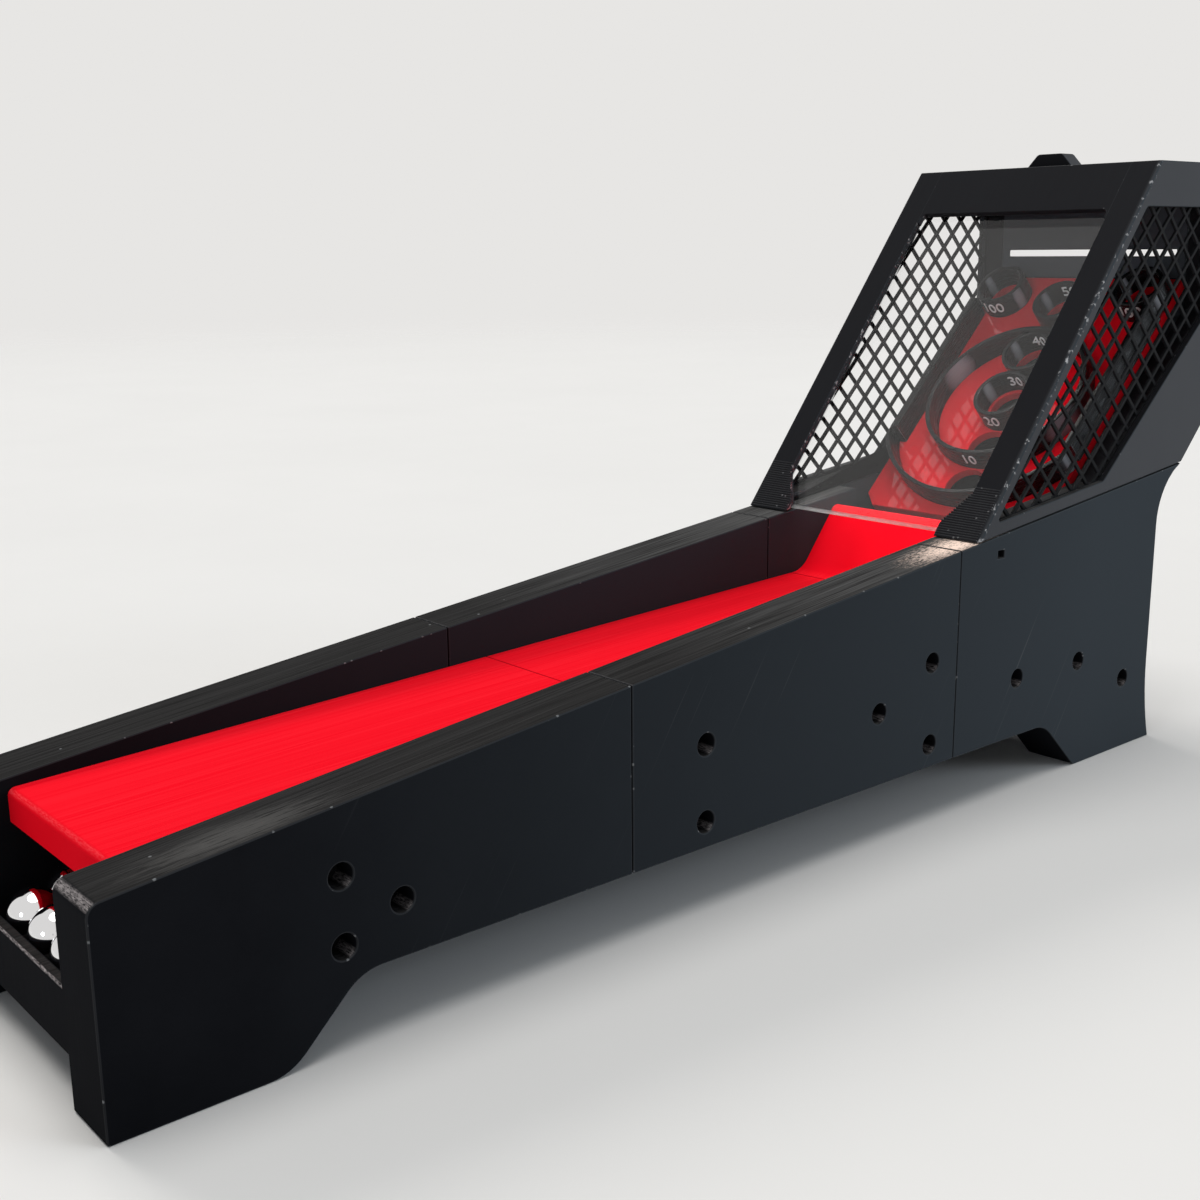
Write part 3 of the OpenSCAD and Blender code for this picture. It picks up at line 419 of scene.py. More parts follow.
def printedPlastic(name, look):
    material, tree, shader, where = startMaterial(name)
    spot = where["Object"]

    def times(*masks):
        product = masks[0]
        for mask in masks[1:]:
            product = doMath(tree, "MULTIPLY", product, mask)
        return product

    across, along, upright = addNode(tree, "ShaderNodeSeparateXYZ", {0: where["Normal"]}).outputs
    flank = remap(tree, doMath(tree, "ABSOLUTE", across), *printShape["flank"])
    leaning = addNode(tree, "ShaderNodeVectorRotate", {
        "Vector": spot, "Angle": math.radians(look["lean"])}, rotation_type="X_AXIS").outputs[0]
    streaks = useGroup(tree, "layerStreaks", {
        "Vector": leaning, "Stretch": look["stretch"], "Spread": look["spread"]})
    haze = useGroup(tree, "handlingHaze", {"Vector": spot})
    upward = useGroup(tree, "upwardFaces", {"Vector": where["Normal"]})
    scale, size, share = look["specks"]
    specks = useGroup(tree, "printSpecks", {
        "Vector": spot, "Scale": scale, "Size": size, "Share": share})
    body = mixColour(tree, haze, look["dark"], look["pale"])
    topBody = mixColour(tree, streaks, look["topDark"], look["topPale"])
    # painted sheen: flanks and top lines lighter towards the rear, a painted reflection
    if look["sheen"]:
        sheen = look["sheen"]
        depth = addNode(tree, "ShaderNodeSeparateXYZ", {0: spot}).outputs["Y"]
        start, topStart, end = (frontY + sheen[key] * mm for key in ("from", "topFrom", "to"))
        rearward = remap(tree, depth, start, end)
        body = mixColour(tree, times(rearward, flank), body, sheen["colour"])
        paintedTopShine = (sheen["top"],) * 3 + (1,)
        topBody = mixColour(tree, times(remap(tree, depth, topStart, end), streaks), topBody, paintedTopShine)
    body = mixColour(tree, upward, body, topBody)
    # print layers on rounded front edges, painted pale: the layers are real, their paleness a painted
    # highlight
    if look["corner"]:
        layers = useGroup(tree, "layerStreaks", {
            "Vector": spot, "Stretch": printShape["cornerStretch"], "Spread": printShape["cornerSpread"]})
        rounded = times(remap(tree, upright, *printShape["cornerRise"]),
                        remap(tree, upright, *printShape["cornerTop"]),
                        remap(tree, along, *printShape["cornerFront"]))
        body = mixColour(tree, times(rounded, layers), body, look["corner"])
    body = mixColour(tree, specks, body, look["speck"])
    if look["scratch"]:
        scratches = useGroup(tree, "paleScratches", {"Vector": spot})
        body = mixColour(tree, times(scratches, look["scratch"], rearward, flank), body, look["speck"])
    if look["wear"]:
        post = postFrame("hood_side_right")
        outward = post.col[2].to_3d()
        wear = useGroup(tree, "edgeWear", {
            "Vector": spot, "Outward": outward, "Offset": post.translation.dot(outward),
            "Reach": look["wear"] * mm})
        body = mixColour(tree, times(wear, flank), body, printShape["wornEdge"])
    # painted highlight on faces turned one way
    if look["gleam"]:
        facing = Vector(look["gleam"]["facing"]).normalized()
        turned = vectorMath(tree, "DOT_PRODUCT", where["Normal"], facing)
        gleam = remap(tree, turned, *look["gleam"]["spread"])
        body = mixColour(tree, gleam, body, look["gleam"]["colour"])
    # painted highlights: glare and pale streaks on top faces
    for paintedGlints in look["paintedGlints"]:
        glintMask = useGroup(tree, "paintedGlintPatch", {
            "Vector": spot, "Centre": frontPlace(paintedGlints["centre"]), "Reach": Vector(paintedGlints["reach"]) * mm,
            "Grain": paintedGlints["grain"]})
        body = mixColour(tree, times(glintMask, upward), body, paintedGlints["colour"])
    tree.links.new(body, shader.inputs["Base Color"])
    hazeShare, lineShare = printShape["uneven"]
    uneven = doMath(tree, "ADD", times(haze, hazeShare), times(streaks, lineShare))
    tree.links.new(remap(tree, uneven, 0.0, 1.0, *look["rough"]), shader.inputs["Roughness"])
    shader.inputs["Specular IOR Level"].default_value = look["specular"]
    grain = noiseOf(tree, spot, printShape["grainScale"], printShape["grainDetail"])
    lines = times(streaks, upward if look["lines"] == "up" else 1.0)
    height = doMath(tree, "ADD", lines, times(grain, printShape["grainHeight"]))
    bump = addNode(tree, "ShaderNodeBump", {
        "Height": height, "Strength": 1.0, "Distance": look["relief"] * mm})
    tree.links.new(bump.outputs[0], shader.inputs["Normal"])
    return material


blackPrint = printedPlastic("blackPrint", blackLook)
blackEdge = printedPlastic("blackEdge", edgeLook)
innerPrint = printedPlastic("innerPrint", innerLook)
hoodPrint = printedPlastic("hoodPrint", hoodLook)
hoodEdge = printedPlastic("hoodEdge", hoodEdgeLook)
backPrint = printedPlastic("backPrint", backLook)
meshPrint = printedPlastic("meshPrint", meshLook)
ringPrint = printedPlastic("ringPrint", ringLook)
redPrint = printedPlastic("redPrint", redLook)
rampPrint = printedPlastic("rampPrint", rampLook)
redEdge = printedPlastic("redEdge", redEdgeLook)
boardPrint = printedPlastic("boardPrint", boardLook)
numeralPrint = printedPlastic("numeralPrint", numeralLook)


# metals: balls, screws and dowels
steelLook = {
    "ball": {"colour": (0.84, 0.84, 0.85, 1), "worn": (0.66, 0.66, 0.68, 1),
             "rough": (0.02, 0.07), "scale": 90},
    "screw": {"colour": (0.030, 0.030, 0.033, 1), "worn": (0.16, 0.16, 0.17, 1),
              "rough": (0.28, 0.45), "scale": 300},
    "dowel": {"colour": (0.55, 0.55, 0.57, 1), "worn": (0.40, 0.40, 0.42, 1),
              "rough": (0.25, 0.40), "scale": 200},
}
steelSpecks = {"finer": 6, "size": 0.2, "share": 0.08}


def steel(name, look):
    material, tree, shader, where = startMaterial(name)
    spot = where["Object"]
    haze = useGroup(tree, "handlingHaze", {"Vector": spot, "Scale": look["scale"]})
    specks = useGroup(tree, "printSpecks", {
        "Vector": spot, "Scale": look["scale"] * steelSpecks["finer"], "Size": steelSpecks["size"],
        "Share": steelSpecks["share"]})
    tree.links.new(mixColour(tree, specks, look["colour"], look["worn"]), shader.inputs["Base Color"])
    tree.links.new(remap(tree, haze, 0.0, 1.0, *look["rough"]), shader.inputs["Roughness"])
    shader.inputs["Metallic"].default_value = 1.0
    return material


ballSteel = steel("ballSteel", steelLook["ball"])
screwSteel = steel("screwSteel", steelLook["screw"])
dowelSteel = steel("dowelSteel", steelLook["dowel"])

# clear window sheet; shadow rays pass, so that the target is lit through it
acrylicLook = {
    "colour": (1.0, 1.0, 1.0, 1),
    "rough": 0.0,
    "smears": (0.0, 0.05),
    "smearScale": 22.0,
    "smearStart": 0.2,
    "ior": 1.04,
    "gloss": 1.36,  # of the clear coat, which carries the reflections
    "clear": 1.0,
    "shade": (0.95, 0.955, 0.96, 1),
}
rimLook = dict(acrylicLook, colour=(0.66, 0.67, 0.68, 1), rough=0.35, smears=(0.4, 0.5), clear=0.97)


def acrylic(name, look):
    material, tree, shader, where = startMaterial(name)
    haze = useGroup(tree, "handlingHaze", {"Vector": where["Object"], "Scale": look["smearScale"]})
    smears = remap(tree, haze, look["smearStart"], 1.0, *look["smears"])
    tree.links.new(smears, shader.inputs["Coat Roughness"])
    shader.inputs["Roughness"].default_value = look["rough"]
    shader.inputs["Base Color"].default_value = look["colour"]
    shader.inputs["Coat Weight"].default_value = 1.0
    shader.inputs["Coat IOR"].default_value = look["gloss"]
    shader.inputs["Transmission Weight"].default_value = look["clear"]
    shader.inputs["IOR"].default_value = look["ior"]
    passing = addNode(tree, "ShaderNodeBsdfTransparent", {"Color": look["shade"]})
    rays = addNode(tree, "ShaderNodeLightPath")
    both = addNode(tree, "ShaderNodeMixShader", {
        0: rays.outputs["Is Shadow Ray"], 1: shader.outputs[0], 2: passing.outputs[0]})
    tree.links.new(both.outputs[0], tree.nodes["Material Output"].inputs["Surface"])
    return material


clearAcrylic = acrylic("clearAcrylic", acrylicLook)
acrylicEdge = acrylic("acrylicEdge", rimLook)
print("finishes made:", len(bpy.data.materials))


# helpers for pieces
def pieceName(node):
    first, *rest = node.split("_")
    return first + "".join(word.capitalize() for word in rest)


def newObject(name, data):
    obj = bpy.data.objects.new(name, data)
    scene.collection.objects.link(obj)
    return obj


def plainMesh(obj, name):
    graph = bpy.context.evaluated_depsgraph_get()
    mesh = bpy.data.meshes.new_from_object(obj.evaluated_get(graph))
    mesh.name = name
    maker = obj.data
    bpy.data.objects.remove(obj)
    bpy.data.batch_remove([maker])
    return mesh


def smoothShade(mesh, degrees=32.0):
    mesh.polygons.foreach_set("use_smooth", [True] * len(mesh.polygons))
    mesh.set_sharp_from_angle(angle=math.radians(degrees))


def rideOn(piece, body):
    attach(piece, body)
    return piece


def standFor(mesh, *nodes):
    first = nodes[0]
    piece = rideOn(newObject(pieceName(first), mesh), cadNodes[first]["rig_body"])
    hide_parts(*nodes)
    return piece


mergeLook = {"gap": 0.002, "flat": 0.4}  # mm between doubles, degrees between faces that count as one


def mergedBuild(node):
    build = bmesh.new()
    build.from_mesh(cadNodes[node].data)
    bmesh.ops.remove_doubles(build, verts=build.verts, dist=mergeLook["gap"] * mm)
    return build


def mergedCopy(node, name):
    build = mergedBuild(node)
    bmesh.ops.dissolve_limit(build, angle_limit=math.radians(mergeLook["flat"]), verts=build.verts,
                             edges=build.edges)
    mesh = bpy.data.meshes.new(name)
    build.to_mesh(mesh)
    build.free()
    mesh.materials.clear()
    return mesh


# edges that a print never leaves sharp: bevelled copies, with an edge finish of their own
edgeFind = {"side": 0.02, "end": 0.9}  # mm from the widest point, cosine to the broad face


def edgedPiece(node, look):
    mesh = mergedCopy(node, node)
    widest = max(vert.co.x for vert in mesh.vertices)
    for vert in mesh.vertices:
        if abs(vert.co.x) > widest - edgeFind["side"] * mm:
            vert.co.x += math.copysign(look["reach"].get(node, 0.0) * mm, vert.co.x)
    mesh.polygons.foreach_set("use_smooth", [look["smooth"]] * len(mesh.polygons))
    broad = max(mesh.polygons, key=lambda face: face.area).normal.copy()
    for face in mesh.polygons:
        isEnd = abs(face.normal.dot(broad)) < edgeFind["end"]
        face.material_index = 1 if look["ends"] and isEnd else 0
    mesh.materials.append(look["body"])
    mesh.materials.append(look["rim"])
    maker = newObject("maker", mesh)
    bevel = maker.modifiers.new("edge", "BEVEL")
    bevel.width = look["edge"] * mm
    bevel.segments = look["steps"]
    bevel.limit_method = "ANGLE"
    bevel.angle_limit = math.radians(look["turn"])
    bevel.use_clamp_overlap = False
    bevel.loop_slide = False
    bevel.material = 1
    if look["smooth"]:
        even = maker.modifiers.new("even", "WEIGHTED_NORMAL")
        even.weight = look["evenness"]
        even.keep_sharp = True
    return standFor(plainMesh(maker, pieceName(node)), node)


panelEdges = {
    "edge": 0.5,  # mm
    "steps": 2,
    "turn": 35.0,  # degrees, sharper corners are bevelled
    "smooth": True,
    "evenness": 100,  # pull of the large faces on the shading
    "ends": False,  # whether end faces take the rim's finish
    "reach": {},  # mm that a node's ends are drawn into its neighbours
    "body": blackPrint,
    "rim": blackEdge,
}
innerEdges = dict(panelEdges, body=innerPrint)
laneEdges = dict(panelEdges, edge=0.35, body=redPrint, rim=redEdge)
rampEdges = dict(laneEdges, body=rampPrint)
hoodEdges = dict(panelEdges, edge=0.4, turn=30.0, body=hoodPrint, rim=hoodEdge,
                 reach={"hood_brow": 0.5})
backEdges = dict(hoodEdges, body=backPrint)
meshEdges = dict(panelEdges, edge=0.12, steps=1, body=meshPrint, rim=meshPrint)
boardEdges = dict(panelEdges, edge=0.3, body=boardPrint, rim=redEdge)
railEdges = dict(panelEdges, edge=0.4, body=ringPrint, rim=ringPrint)
windowEdges = dict(panelEdges, edge=0.2, steps=1, smooth=False, ends=True, body=clearAcrylic,
                   rim=acrylicEdge)
panelNodes = ["%s_panel_%s" % (place, side) for place in ("front", "middle", "rear") for side in sides]
edgedNodes = {
    "panel": (panelEdges, panelNodes + ["ball_tray"]),
    "inner": (innerEdges, ["return_chute_front", "return_chute_rear", "catch_hopper", "base_back"]),
    "lane": (laneEdges, ["lane_front", "lane_rear"]),
    "ramp": (rampEdges, ["launch_ramp"]),
    "hood": (hoodEdges, ["hood_side_right", "hood_side_left", "hood_brow", "hood_top", "lift_tab"]),
    "back": (backEdges, ["hood_back"]),
    "mesh": (meshEdges, ["mesh_right", "mesh_left"]),
    "board": (boardEdges, ["target_board"]),
    "rail": (railEdges, ["lower_rail", "side_rail_right", "side_rail_left"]),
    "window": (windowEdges, ["window"]),
}
for kind, (look, names) in edgedNodes.items():
    for node in names:
        edgedPiece(node, look)
    print("edged:", kind, len(names))


# geometry trees: each ends realised and painted
def geometryTree(name, inputs):
    tree = bpy.data.node_groups.new(name, "GeometryNodeTree")
    sockets = [("Geometry", "Geometry", None)] + inputs + [("Material", "Material", None)]
    given, made = addSockets(tree, sockets, [("Geometry", "Geometry")])
    return tree, given, made


def endTree(tree, shape, given, made):
    real = addNode(tree, "GeometryNodeRealizeInstances", {"Geometry": shape})
    painted = addNode(tree, "GeometryNodeSetMaterial", {
        "Geometry": real.outputs[0], "Material": given["Material"]})
    tree.links.new(painted.outputs[0], made["Geometry"])


def runTree(tree, name, seed, values):
    maker = newObject("maker", seed)
    modifier = maker.modifiers.new("shape", "NODES")
    modifier.node_group = tree
    for item in tree.interface.items_tree:
        if item.in_out == "INPUT" and item.name in values:
            modifier[item.identifier] = values[item.name]
    maker.update_tag()
    return plainMesh(maker, name)


# rings and cups: a rounded wall swept round a circle
ringShape = {"thickness": 2.0, "round": 0.45, "segments": 144, "roundSteps": 3}  # sizes in mm


def makeRingTree():
    tree, given, made = geometryTree("ringWall", [
        ("Radius", "Float", 0.04),
        ("Thickness", "Float", 0.002),
        ("Height", "Float", 0.007),
        ("Round", "Float", 0.0004),
    ])
    half = doMath(tree, "MULTIPLY", given["Thickness"], 0.5)
    middle = doMath(tree, "SUBTRACT", given["Radius"], half)
    circle = addNode(tree, "GeometryNodeCurvePrimitiveCircle", {
        "Resolution": ringShape["segments"], "Radius": middle})
    section = addNode(tree, "GeometryNodeCurvePrimitiveQuadrilateral", {
        "Width": given["Thickness"], "Height": given["Height"]})
    eased = addNode(tree, "GeometryNodeFilletCurve", {
        "Curve": section.outputs[0], "Count": ringShape["roundSteps"],
        "Radius": given["Round"]}, mode="POLY")
    wall = addNode(tree, "GeometryNodeCurveToMesh", {
        "Curve": circle.outputs[0], "Profile Curve": eased.outputs[0]})
    endTree(tree, wall.outputs[0], given, made)
    return tree


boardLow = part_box("target_board")[0]
boardSheet = {"pitch": 45.0, "thickness": 4.0}  # degrees, mm
boardTurn = math.radians(boardSheet["pitch"])
boardUp = Vector((0, math.cos(boardTurn), math.sin(boardTurn)))  # along the board, up the slope
boardOut = Vector((0, -math.sin(boardTurn), math.cos(boardTurn)))  # out of its face
boardFoot = Vector((0, boardLow.y, boardLow.z + boardSheet["thickness"] * mm * math.cos(boardTurn)))
boardFrame = Matrix((Vector((1, 0, 0)), boardUp, boardOut)).transposed().to_4x4()
boardFrame.translation = boardFoot


def spanOf(spots):
    return [Vector([pick(spot[axis] for spot in spots) for axis in range(3)]) for pick in (min, max)]


def ringPlace(node):
    local = boardFrame.inverted()
    low, high = spanOf([local @ vert.co for vert in cadNodes[node].data.vertices])
    size = high - low
    return (low + high) / 2, size.x / 2, size.z


def makeRing(node, tree):
    centre, radius, height = ringPlace(node)
    mesh = runTree(tree, pieceName(node), bpy.data.meshes.new("seed"), {
        "Radius": radius, "Thickness": ringShape["thickness"] * mm, "Height": height,
        "Round": ringShape["round"] * mm, "Material": ringPrint})
    mesh.transform(boardFrame @ Matrix.Translation(centre))
    smoothShade(mesh)
    return standFor(mesh, node)


ringTree = makeRingTree()
ringNodes = ["ring_large", "ring_small", "cup_forty", "cup_fifty"]
ringNodes += ["cup_hundred_" + side for side in sides]
for node in ringNodes:
    makeRing(node, ringTree)
print("rings made:", len(ringNodes))

# score numbers, bent to the walls that carry them; sizes in mm
numeralShape = {"size": 7.6, "depth": 0.5, "sunk": 0.15, "middle": 5.6, "strip": 0.5, "steps": 4,
                "weld": 0.001}
scores = [
    ("10", "ring_large", "front"), ("20", "ring_small", "front"), ("30", "ring_small", "back"),
    ("40", "cup_forty", "back"), ("50", "cup_fifty", "back"),
    ("100", "cup_hundred_right", "front"), ("100", "cup_hundred_left", "front"),
]


def flatNumeral(digits, name):
    text = bpy.data.curves.new(name, "FONT")
    text.body = digits
    text.size = numeralShape["size"] * mm
    text.extrude = numeralShape["depth"] / 2 * mm
    text.align_x = "CENTER"
    text.align_y = "CENTER"
    text.resolution_u = numeralShape["steps"]
    mesh = plainMesh(newObject(name, text), name)
    build = bmesh.new()
    build.from_mesh(mesh)
    bmesh.ops.remove_doubles(build, verts=build.verts, dist=numeralShape["weld"] * mm)
    reach = max(abs(vert.co.x) for vert in build.verts)
    strips = int(reach / (numeralShape["strip"] * mm))
    for step in range(-strips, strips + 1):
        everything = build.verts[:] + build.edges[:] + build.faces[:]
        cut = Vector((step * numeralShape["strip"] * mm, 0, 0))
        bmesh.ops.bisect_plane(build, geom=everything, plane_co=cut, plane_no=(1, 0, 0))
    build.to_mesh(mesh)
    build.free()
    return mesh


def makeNumeral(digits, node, wall):
    name = pieceName("score_%s_%s" % (digits, node))
    centre, radius = ringPlace(node)[:2]
    mesh = flatNumeral(digits, name)
    out = (numeralShape["depth"] / 2 - numeralShape["sunk"]) * mm
    for vert in mesh.vertices:
        x, y, z = vert.co
        if wall == "front":
            turn = x / radius
            reach = radius + z + out
            along = centre.y - reach * math.cos(turn)
        else:
            inner = radius - ringShape["thickness"] * mm
            turn = x / inner
            reach = inner - z - out
            along = centre.y + reach * math.cos(turn)
        vert.co = (centre.x + reach * math.sin(turn), along, numeralShape["middle"] * mm + y)
    mesh.transform(boardFrame)
    mesh.materials.clear()
    mesh.materials.append(numeralPrint)
    rideOn(newObject(name, mesh), cadNodes[node]["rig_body"])


for digits, node, wall in scores:
    makeNumeral(digits, node, wall)
print("scores made:", len(scores))

# polished balls, one for each body
ballShape = {"count": 9, "rings": 48, "segments": 64, "smooth": 180.0}
for number in range(ballShape["count"]):
    node = "ball_%d" % (number + 1)
    low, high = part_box(node)
    build = bmesh.new()
    bmesh.ops.create_uvsphere(build, u_segments=ballShape["segments"], v_segments=ballShape["rings"],
                              radius=(high.x - low.x) / 2, matrix=Matrix.Translation((low + high) / 2))
    mesh = bpy.data.meshes.new(pieceName(node))
    build.to_mesh(mesh)
    build.free()
    mesh.materials.append(ballSteel)
    smoothShade(mesh, ballShape["smooth"])
    standFor(mesh, node)
print("balls made:", ballShape["count"])

# socket screws, set on points at the counterbores' seats; sizes in mm
screwShape = {"head": 7.0, "headHeight": 4.0, "shank": 4.0, "socket": 3.5, "socketDepth": 2.0,
              "segments": 32, "socketSides": 6}


def makeScrewTree():
    tree, given, made = geometryTree("socketScrew", [
        ("Head", "Float", 0.007),
        ("Head Height", "Float", 0.004),
        ("Shank", "Float", 0.004),
        ("Length", "Float", 0.015),
        ("Socket", "Float", 0.0035),
        ("Socket Depth", "Float", 0.002),
    ])

    def half(value):
        return doMath(tree, "MULTIPLY", value, 0.5)

    def outline(sides, width):
        return addNode(tree, "GeometryNodeCurvePrimitiveCircle", {
            "Resolution": sides, "Radius": half(width)})

    def rod(radius, depth, middle):
        lift = addNode(tree, "ShaderNodeCombineXYZ", {"Z": middle})
        body = addNode(tree, "GeometryNodeMeshCylinder", {
            "Vertices": screwShape["segments"], "Radius": radius, "Depth": depth})
        return addNode(tree, "GeometryNodeTransform", {
            "Geometry": body.outputs["Mesh"], "Translation": lift.outputs[0]}).outputs[0]

    floor = doMath(tree, "SUBTRACT", given["Head Height"], given["Socket Depth"])
    lower = rod(half(given["Head"]), floor, half(floor))
    shank = rod(half(given["Shank"]), given["Length"], doMath(tree, "MULTIPLY", given["Length"], -0.5))
    rim = outline(screwShape["segments"], given["Head"])
    hexagon = outline(screwShape["socketSides"], given["Socket"])
    loops = addNode(tree, "GeometryNodeJoinGeometry")
    for loop in (rim, hexagon):
        tree.links.new(loop.outputs[0], loops.inputs[0])
    face = addNode(tree, "GeometryNodeFillCurve", {"Curve": loops.outputs[0]})
    raised = addNode(tree, "GeometryNodeExtrudeMesh", {
        "Mesh": face.outputs[0], "Offset Scale": given["Socket Depth"], "Individual": False})
    lift = addNode(tree, "ShaderNodeCombineXYZ", {"Z": floor})
    upper = addNode(tree, "GeometryNodeTransform", {
        "Geometry": raised.outputs["Mesh"], "Translation": lift.outputs[0]})
    screw = addNode(tree, "GeometryNodeJoinGeometry")
    for part in (lower, shank, upper.outputs[0]):
        tree.links.new(part, screw.inputs[0])
    position = addNode(tree, "GeometryNodeInputPosition").outputs[0]
    place = addNode(tree, "ShaderNodeSeparateXYZ", {0: position})
    outward = addNode(tree, "ShaderNodeCombineXYZ", {"X": place.outputs["X"]})
    facing = addNode(tree, "FunctionNodeAlignRotationToVector", {"Vector": outward.outputs[0]}, axis="Z")
    points = addNode(tree, "GeometryNodeMeshToPoints", {"Mesh": given["Geometry"]})
    placed = addNode(tree, "GeometryNodeInstanceOnPoints", {
        "Points": points.outputs[0], "Instance": screw.outputs[0], "Rotation": facing.outputs[0]})
    endTree(tree, placed.outputs[0], given, made)
    return tree


def islandsOf(node):
    build = mergedBuild(node)
    left = set(build.verts)
    boxes = []
    while left:
        reached = [left.pop()]
        for vert in reached:
            for edge in vert.link_edges:
                other = edge.other_vert(vert)
                if other in left:
                    left.remove(other)
                    reached.append(other)
        boxes.append(spanOf([vert.co for vert in reached]))
    build.free()
    return boxes


def makeScrews(node, tree):
    seeds = []
    for low, high in islandsOf(node):
        middle = (low + high) / 2
        side = math.copysign(1.0, middle.x)
        outer = max(abs(low.x), abs(high.x))
        inner = min(abs(low.x), abs(high.x))
        seat = outer - screwShape["headHeight"] * mm
        length = seat - inner  # the same for all screws of a node
        seeds.append((side * seat, middle.y, middle.z))
    seed = bpy.data.meshes.new("seed")
    seed.from_pydata(seeds, [], [])
    mesh = runTree(tree, pieceName(node), seed, {
        "Head": screwShape["head"] * mm, "Head Height": screwShape["headHeight"] * mm,
        "Shank": screwShape["shank"] * mm, "Length": length, "Socket": screwShape["socket"] * mm,
        "Socket Depth": screwShape["socketDepth"] * mm, "Material": screwSteel})
    smoothShade(mesh)
    standFor(mesh, node)
    return len(seeds)


screwTree = makeScrewTree()
screwNodes = ("lane_screws", "tray_screws", "chute_screws", "hopper_screws")
print("screws made:", sum(makeScrews(node, screwTree) for node in screwNodes))

# dowels keep their solids
dowelNodes = ("seam_dowels", "ramp_pins", "hood_dowels", "board_dowels")
for node in dowelNodes:
    cadNodes[node].data.materials.clear()
    cadNodes[node].data.materials.append(dowelSteel)
print("dowels finished:", len(dowelNodes))

# printed steps that show on the feet of the hood's posts; sizes in mm
stepLook = {"pitch": 1.05, "count": 22, "radius": 0.55, "sunk": 0.36, "outer": 58.6, "innerLow": 39.1,
            "innerHigh": 47.4, "riseLow": 6.0, "riseHigh": 20.0, "start": 0.9, "sides": 10,
            "smooth": 60.0}


def makeStepTree():
    tree, given, made = geometryTree("layerSteps", [
        ("Count", "Int", 20),
        ("Pitch", "Float", 0.001),
        ("Radius", "Float", 0.0005),
        ("Outer", "Float", 0.06),
        ("Inner Low", "Float", 0.04),
        ("Inner High", "Float", 0.047),
        ("Rise Low", "Float", 0.006),
        ("Rise High", "Float", 0.02),
    ])
    pitch = addNode(tree, "ShaderNodeCombineXYZ", {"Y": given["Pitch"]})
    line = addNode(tree, "GeometryNodeMeshLine", {"Count": given["Count"], "Offset": pitch.outputs[0]})
    position = addNode(tree, "GeometryNodeInputPosition").outputs[0]
    place = addNode(tree, "ShaderNodeSeparateXYZ", {0: position})
    inner = remap(tree, place.outputs["Y"], given["Rise Low"], given["Rise High"],
                  given["Inner Low"], given["Inner High"])
    middle = doMath(tree, "MULTIPLY", doMath(tree, "ADD", inner, given["Outer"]), 0.5)
    width = doMath(tree, "ABSOLUTE", doMath(tree, "SUBTRACT", given["Outer"], inner))
    shift = addNode(tree, "ShaderNodeCombineXYZ", {"X": middle})
    bar = addNode(tree, "GeometryNodeMeshCylinder", {
        "Vertices": stepLook["sides"], "Radius": given["Radius"], "Depth": 1.0})
    lying = addNode(tree, "GeometryNodeTransform", {
        "Geometry": bar.outputs["Mesh"], "Rotation": (0, math.radians(90), 0)})
    stretch = addNode(tree, "ShaderNodeCombineXYZ", {"X": width, "Y": 1.0, "Z": 1.0})
    placed = addNode(tree, "GeometryNodeInstanceOnPoints", {
        "Points": line.outputs[0], "Instance": lying.outputs[0], "Scale": stretch.outputs[0]})
    moved = addNode(tree, "GeometryNodeTranslateInstances", {
        "Instances": placed.outputs[0], "Translation": shift.outputs[0], "Local Space": False})
    endTree(tree, moved.outputs[0], given, made)
    return tree


stepTree = makeStepTree()
for side, sign in zip(sides, (1, -1)):
    node = "hood_side_" + side
    name = pieceName("post_steps_" + side)
    # the steps take the paler edge finish, a painted highlight on their ridges
    mesh = runTree(stepTree, name, bpy.data.meshes.new("seed"), {
        "Count": stepLook["count"], "Pitch": stepLook["pitch"] * mm, "Radius": stepLook["radius"] * mm,
        "Outer": sign * stepLook["outer"] * mm, "Inner Low": sign * stepLook["innerLow"] * mm,
        "Inner High": sign * stepLook["innerHigh"] * mm, "Rise Low": stepLook["riseLow"] * mm,
        "Rise High": stepLook["riseHigh"] * mm, "Material": hoodEdge})
    lift = Matrix.Translation((0, stepLook["start"] * mm, -stepLook["sunk"] * mm))
    mesh.transform(postFrame(node) @ lift)
    smoothShade(mesh, stepLook["smooth"])
    rideOn(newObject(name, mesh), cadNodes[node]["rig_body"])
print("post steps made")

# plain pale floor that fades into the room, and soft studio light; places in metres
floorLook = {"reach": 12.0, "colour": (0.80, 0.79, 0.775, 1), "rough": 0.6, "fade": (1.6, 4.6),
             "dust": 0.975, "dustScale": 3.0}


def makeFloor(look):
    build = bmesh.new()
    bmesh.ops.create_grid(build, x_segments=1, y_segments=1, size=look["reach"] / 2)
    mesh = bpy.data.meshes.new("floor")
    build.to_mesh(mesh)
    build.free()
    material, tree, shader, where = startMaterial("paleFloor")
    haze = useGroup(tree, "handlingHaze", {"Vector": where["Object"], "Scale": look["dustScale"]})
    shade = tuple(value * look["dust"] for value in look["colour"][:3]) + (1,)
    tree.links.new(mixColour(tree, haze, look["colour"], shade), shader.inputs["Base Color"])
    shader.inputs["Roughness"].default_value = look["rough"]
    shader.inputs["Specular IOR Level"].default_value = 0.0
    away = vectorMath(tree, "LENGTH", where["Object"])
    start, end = look["fade"]
    fade = addNode(tree, "ShaderNodeMapRange", {
        "Value": away, "From Min": start, "From Max": end}, interpolation_type="SMOOTHSTEP")
    gone = addNode(tree, "ShaderNodeBsdfTransparent")
    both = addNode(tree, "ShaderNodeMixShader", {
        0: fade.outputs["Result"], 1: shader.outputs[0], 2: gone.outputs[0]})
    tree.links.new(both.outputs[0], tree.nodes["Material Output"].inputs["Surface"])
    mesh.materials.append(material)
    newObject("floor", mesh)


makeFloor(floorLook)

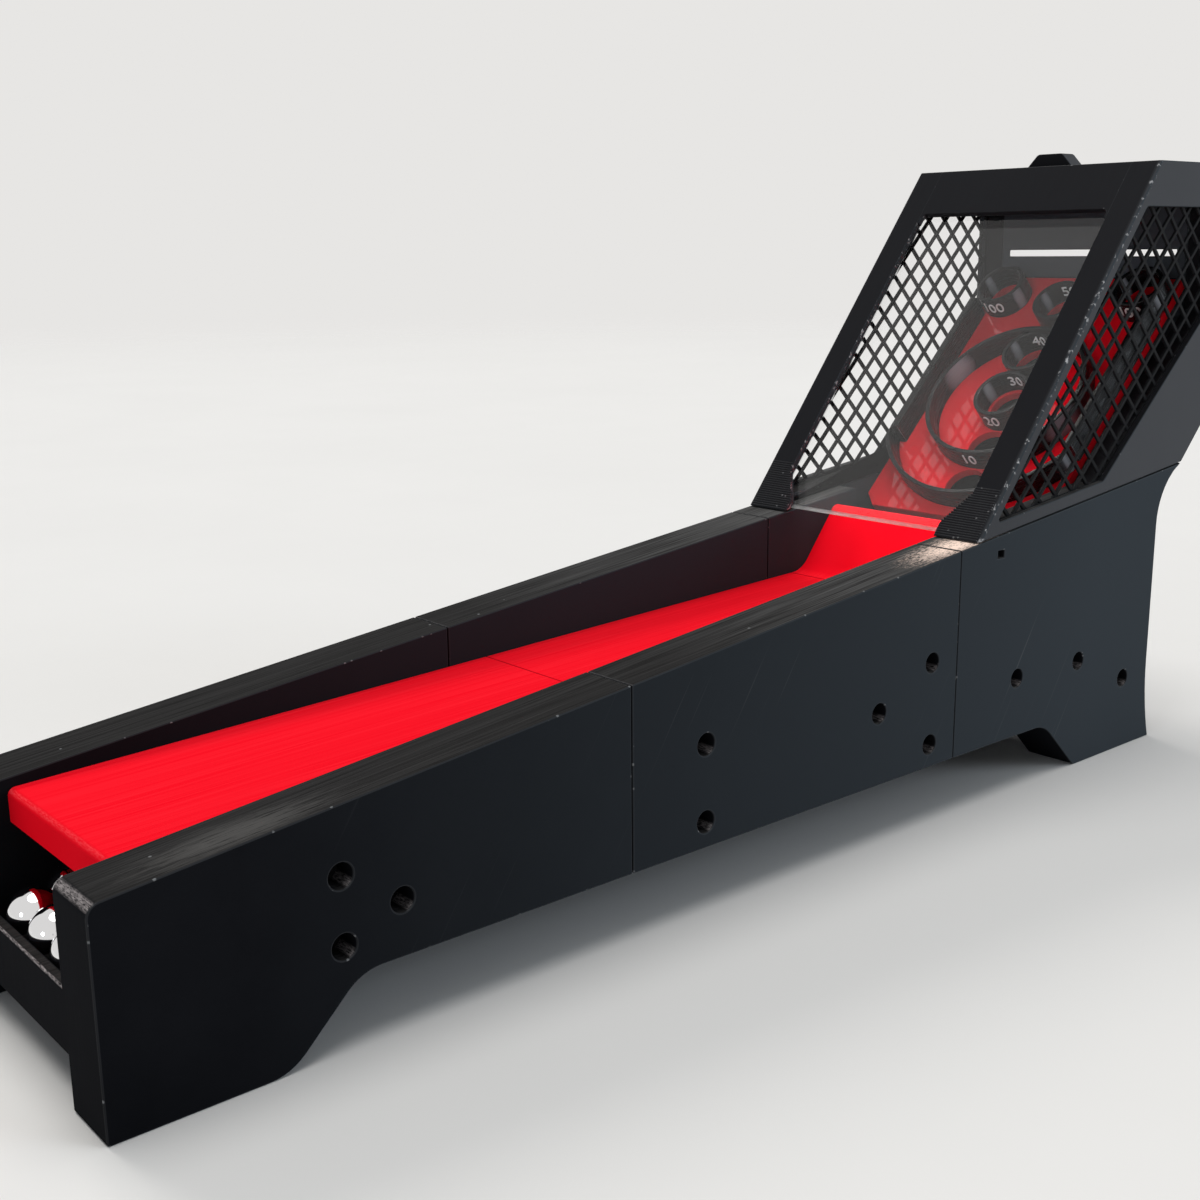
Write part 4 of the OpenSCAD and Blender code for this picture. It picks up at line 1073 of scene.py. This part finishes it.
lampLook = [
    {"name": "overheadSoft", "place": (0.0, 0.06, 1.6), "aim": (0, 0.05, 0.08), "spread": 0.75,
     "power": 1.55, "colour": (1.0, 0.985, 0.96), "mirrored": True},
    {"name": "windowLight", "place": (-1.7, 0.05, 1.5), "aim": (0, 0.05, 0.08), "spread": 0.5,
     "power": 1.25, "colour": (1.0, 0.97, 0.93), "mirrored": False},
    {"name": "coolSide", "place": (1.1, 1.0, 0.55), "aim": (0.05, 0.12, 0.10), "spread": 0.49,
     "power": 0.82, "colour": (0.80, 0.90, 1.0), "mirrored": True},
    {"name": "frontGlint", "place": (0.45, -2.0, 0.75), "aim": (0, 0.15, 0.18), "spread": 0.24,
     "power": 0.22, "colour": (0.86, 0.93, 1.0), "mirrored": True},
]


def makeLamp(look):
    lamp = bpy.data.lights.new(look["name"], "SUN")
    lamp.energy = look["power"]
    lamp.color = look["colour"]
    lamp.angle = look["spread"]
    holder = newObject(look["name"], lamp)
    holder.visible_glossy = look["mirrored"]  # windowLight would glare on the board
    place = Vector(look["place"])
    facing = (Vector(look["aim"]) - place).to_track_quat("-Z", "Y")
    holder.matrix_world = Matrix.Translation(place) @ facing.to_matrix().to_4x4()


for look in lampLook:
    makeLamp(look)

skyLook = {"seen": floorLook["colour"], "ambient": (0.92, 0.96, 1.0, 1), "strength": 0.26}


def makeSky(look):
    world = bpy.data.worlds.new("paleRoom")
    world.use_nodes = True
    scene.world = world
    tree = world.node_tree
    tree.nodes.clear()
    rays = addNode(tree, "ShaderNodeLightPath").outputs
    seen = doMath(tree, "ADD", rays["Is Camera Ray"], rays["Is Glossy Ray"])
    seen = doMath(tree, "MINIMUM", doMath(tree, "ADD", seen, rays["Is Transmission Ray"]), 1.0)
    room = addNode(tree, "ShaderNodeBackground", {"Color": look["seen"], "Strength": 1.0})
    soft = addNode(tree, "ShaderNodeBackground", {"Color": look["ambient"], "Strength": look["strength"]})
    both = addNode(tree, "ShaderNodeMixShader", {0: seen, 1: soft.outputs[0], 2: room.outputs[0]})
    addNode(tree, "ShaderNodeOutputWorld", {"Surface": both.outputs[0]})


makeSky(skyLook)
print("stage lit")
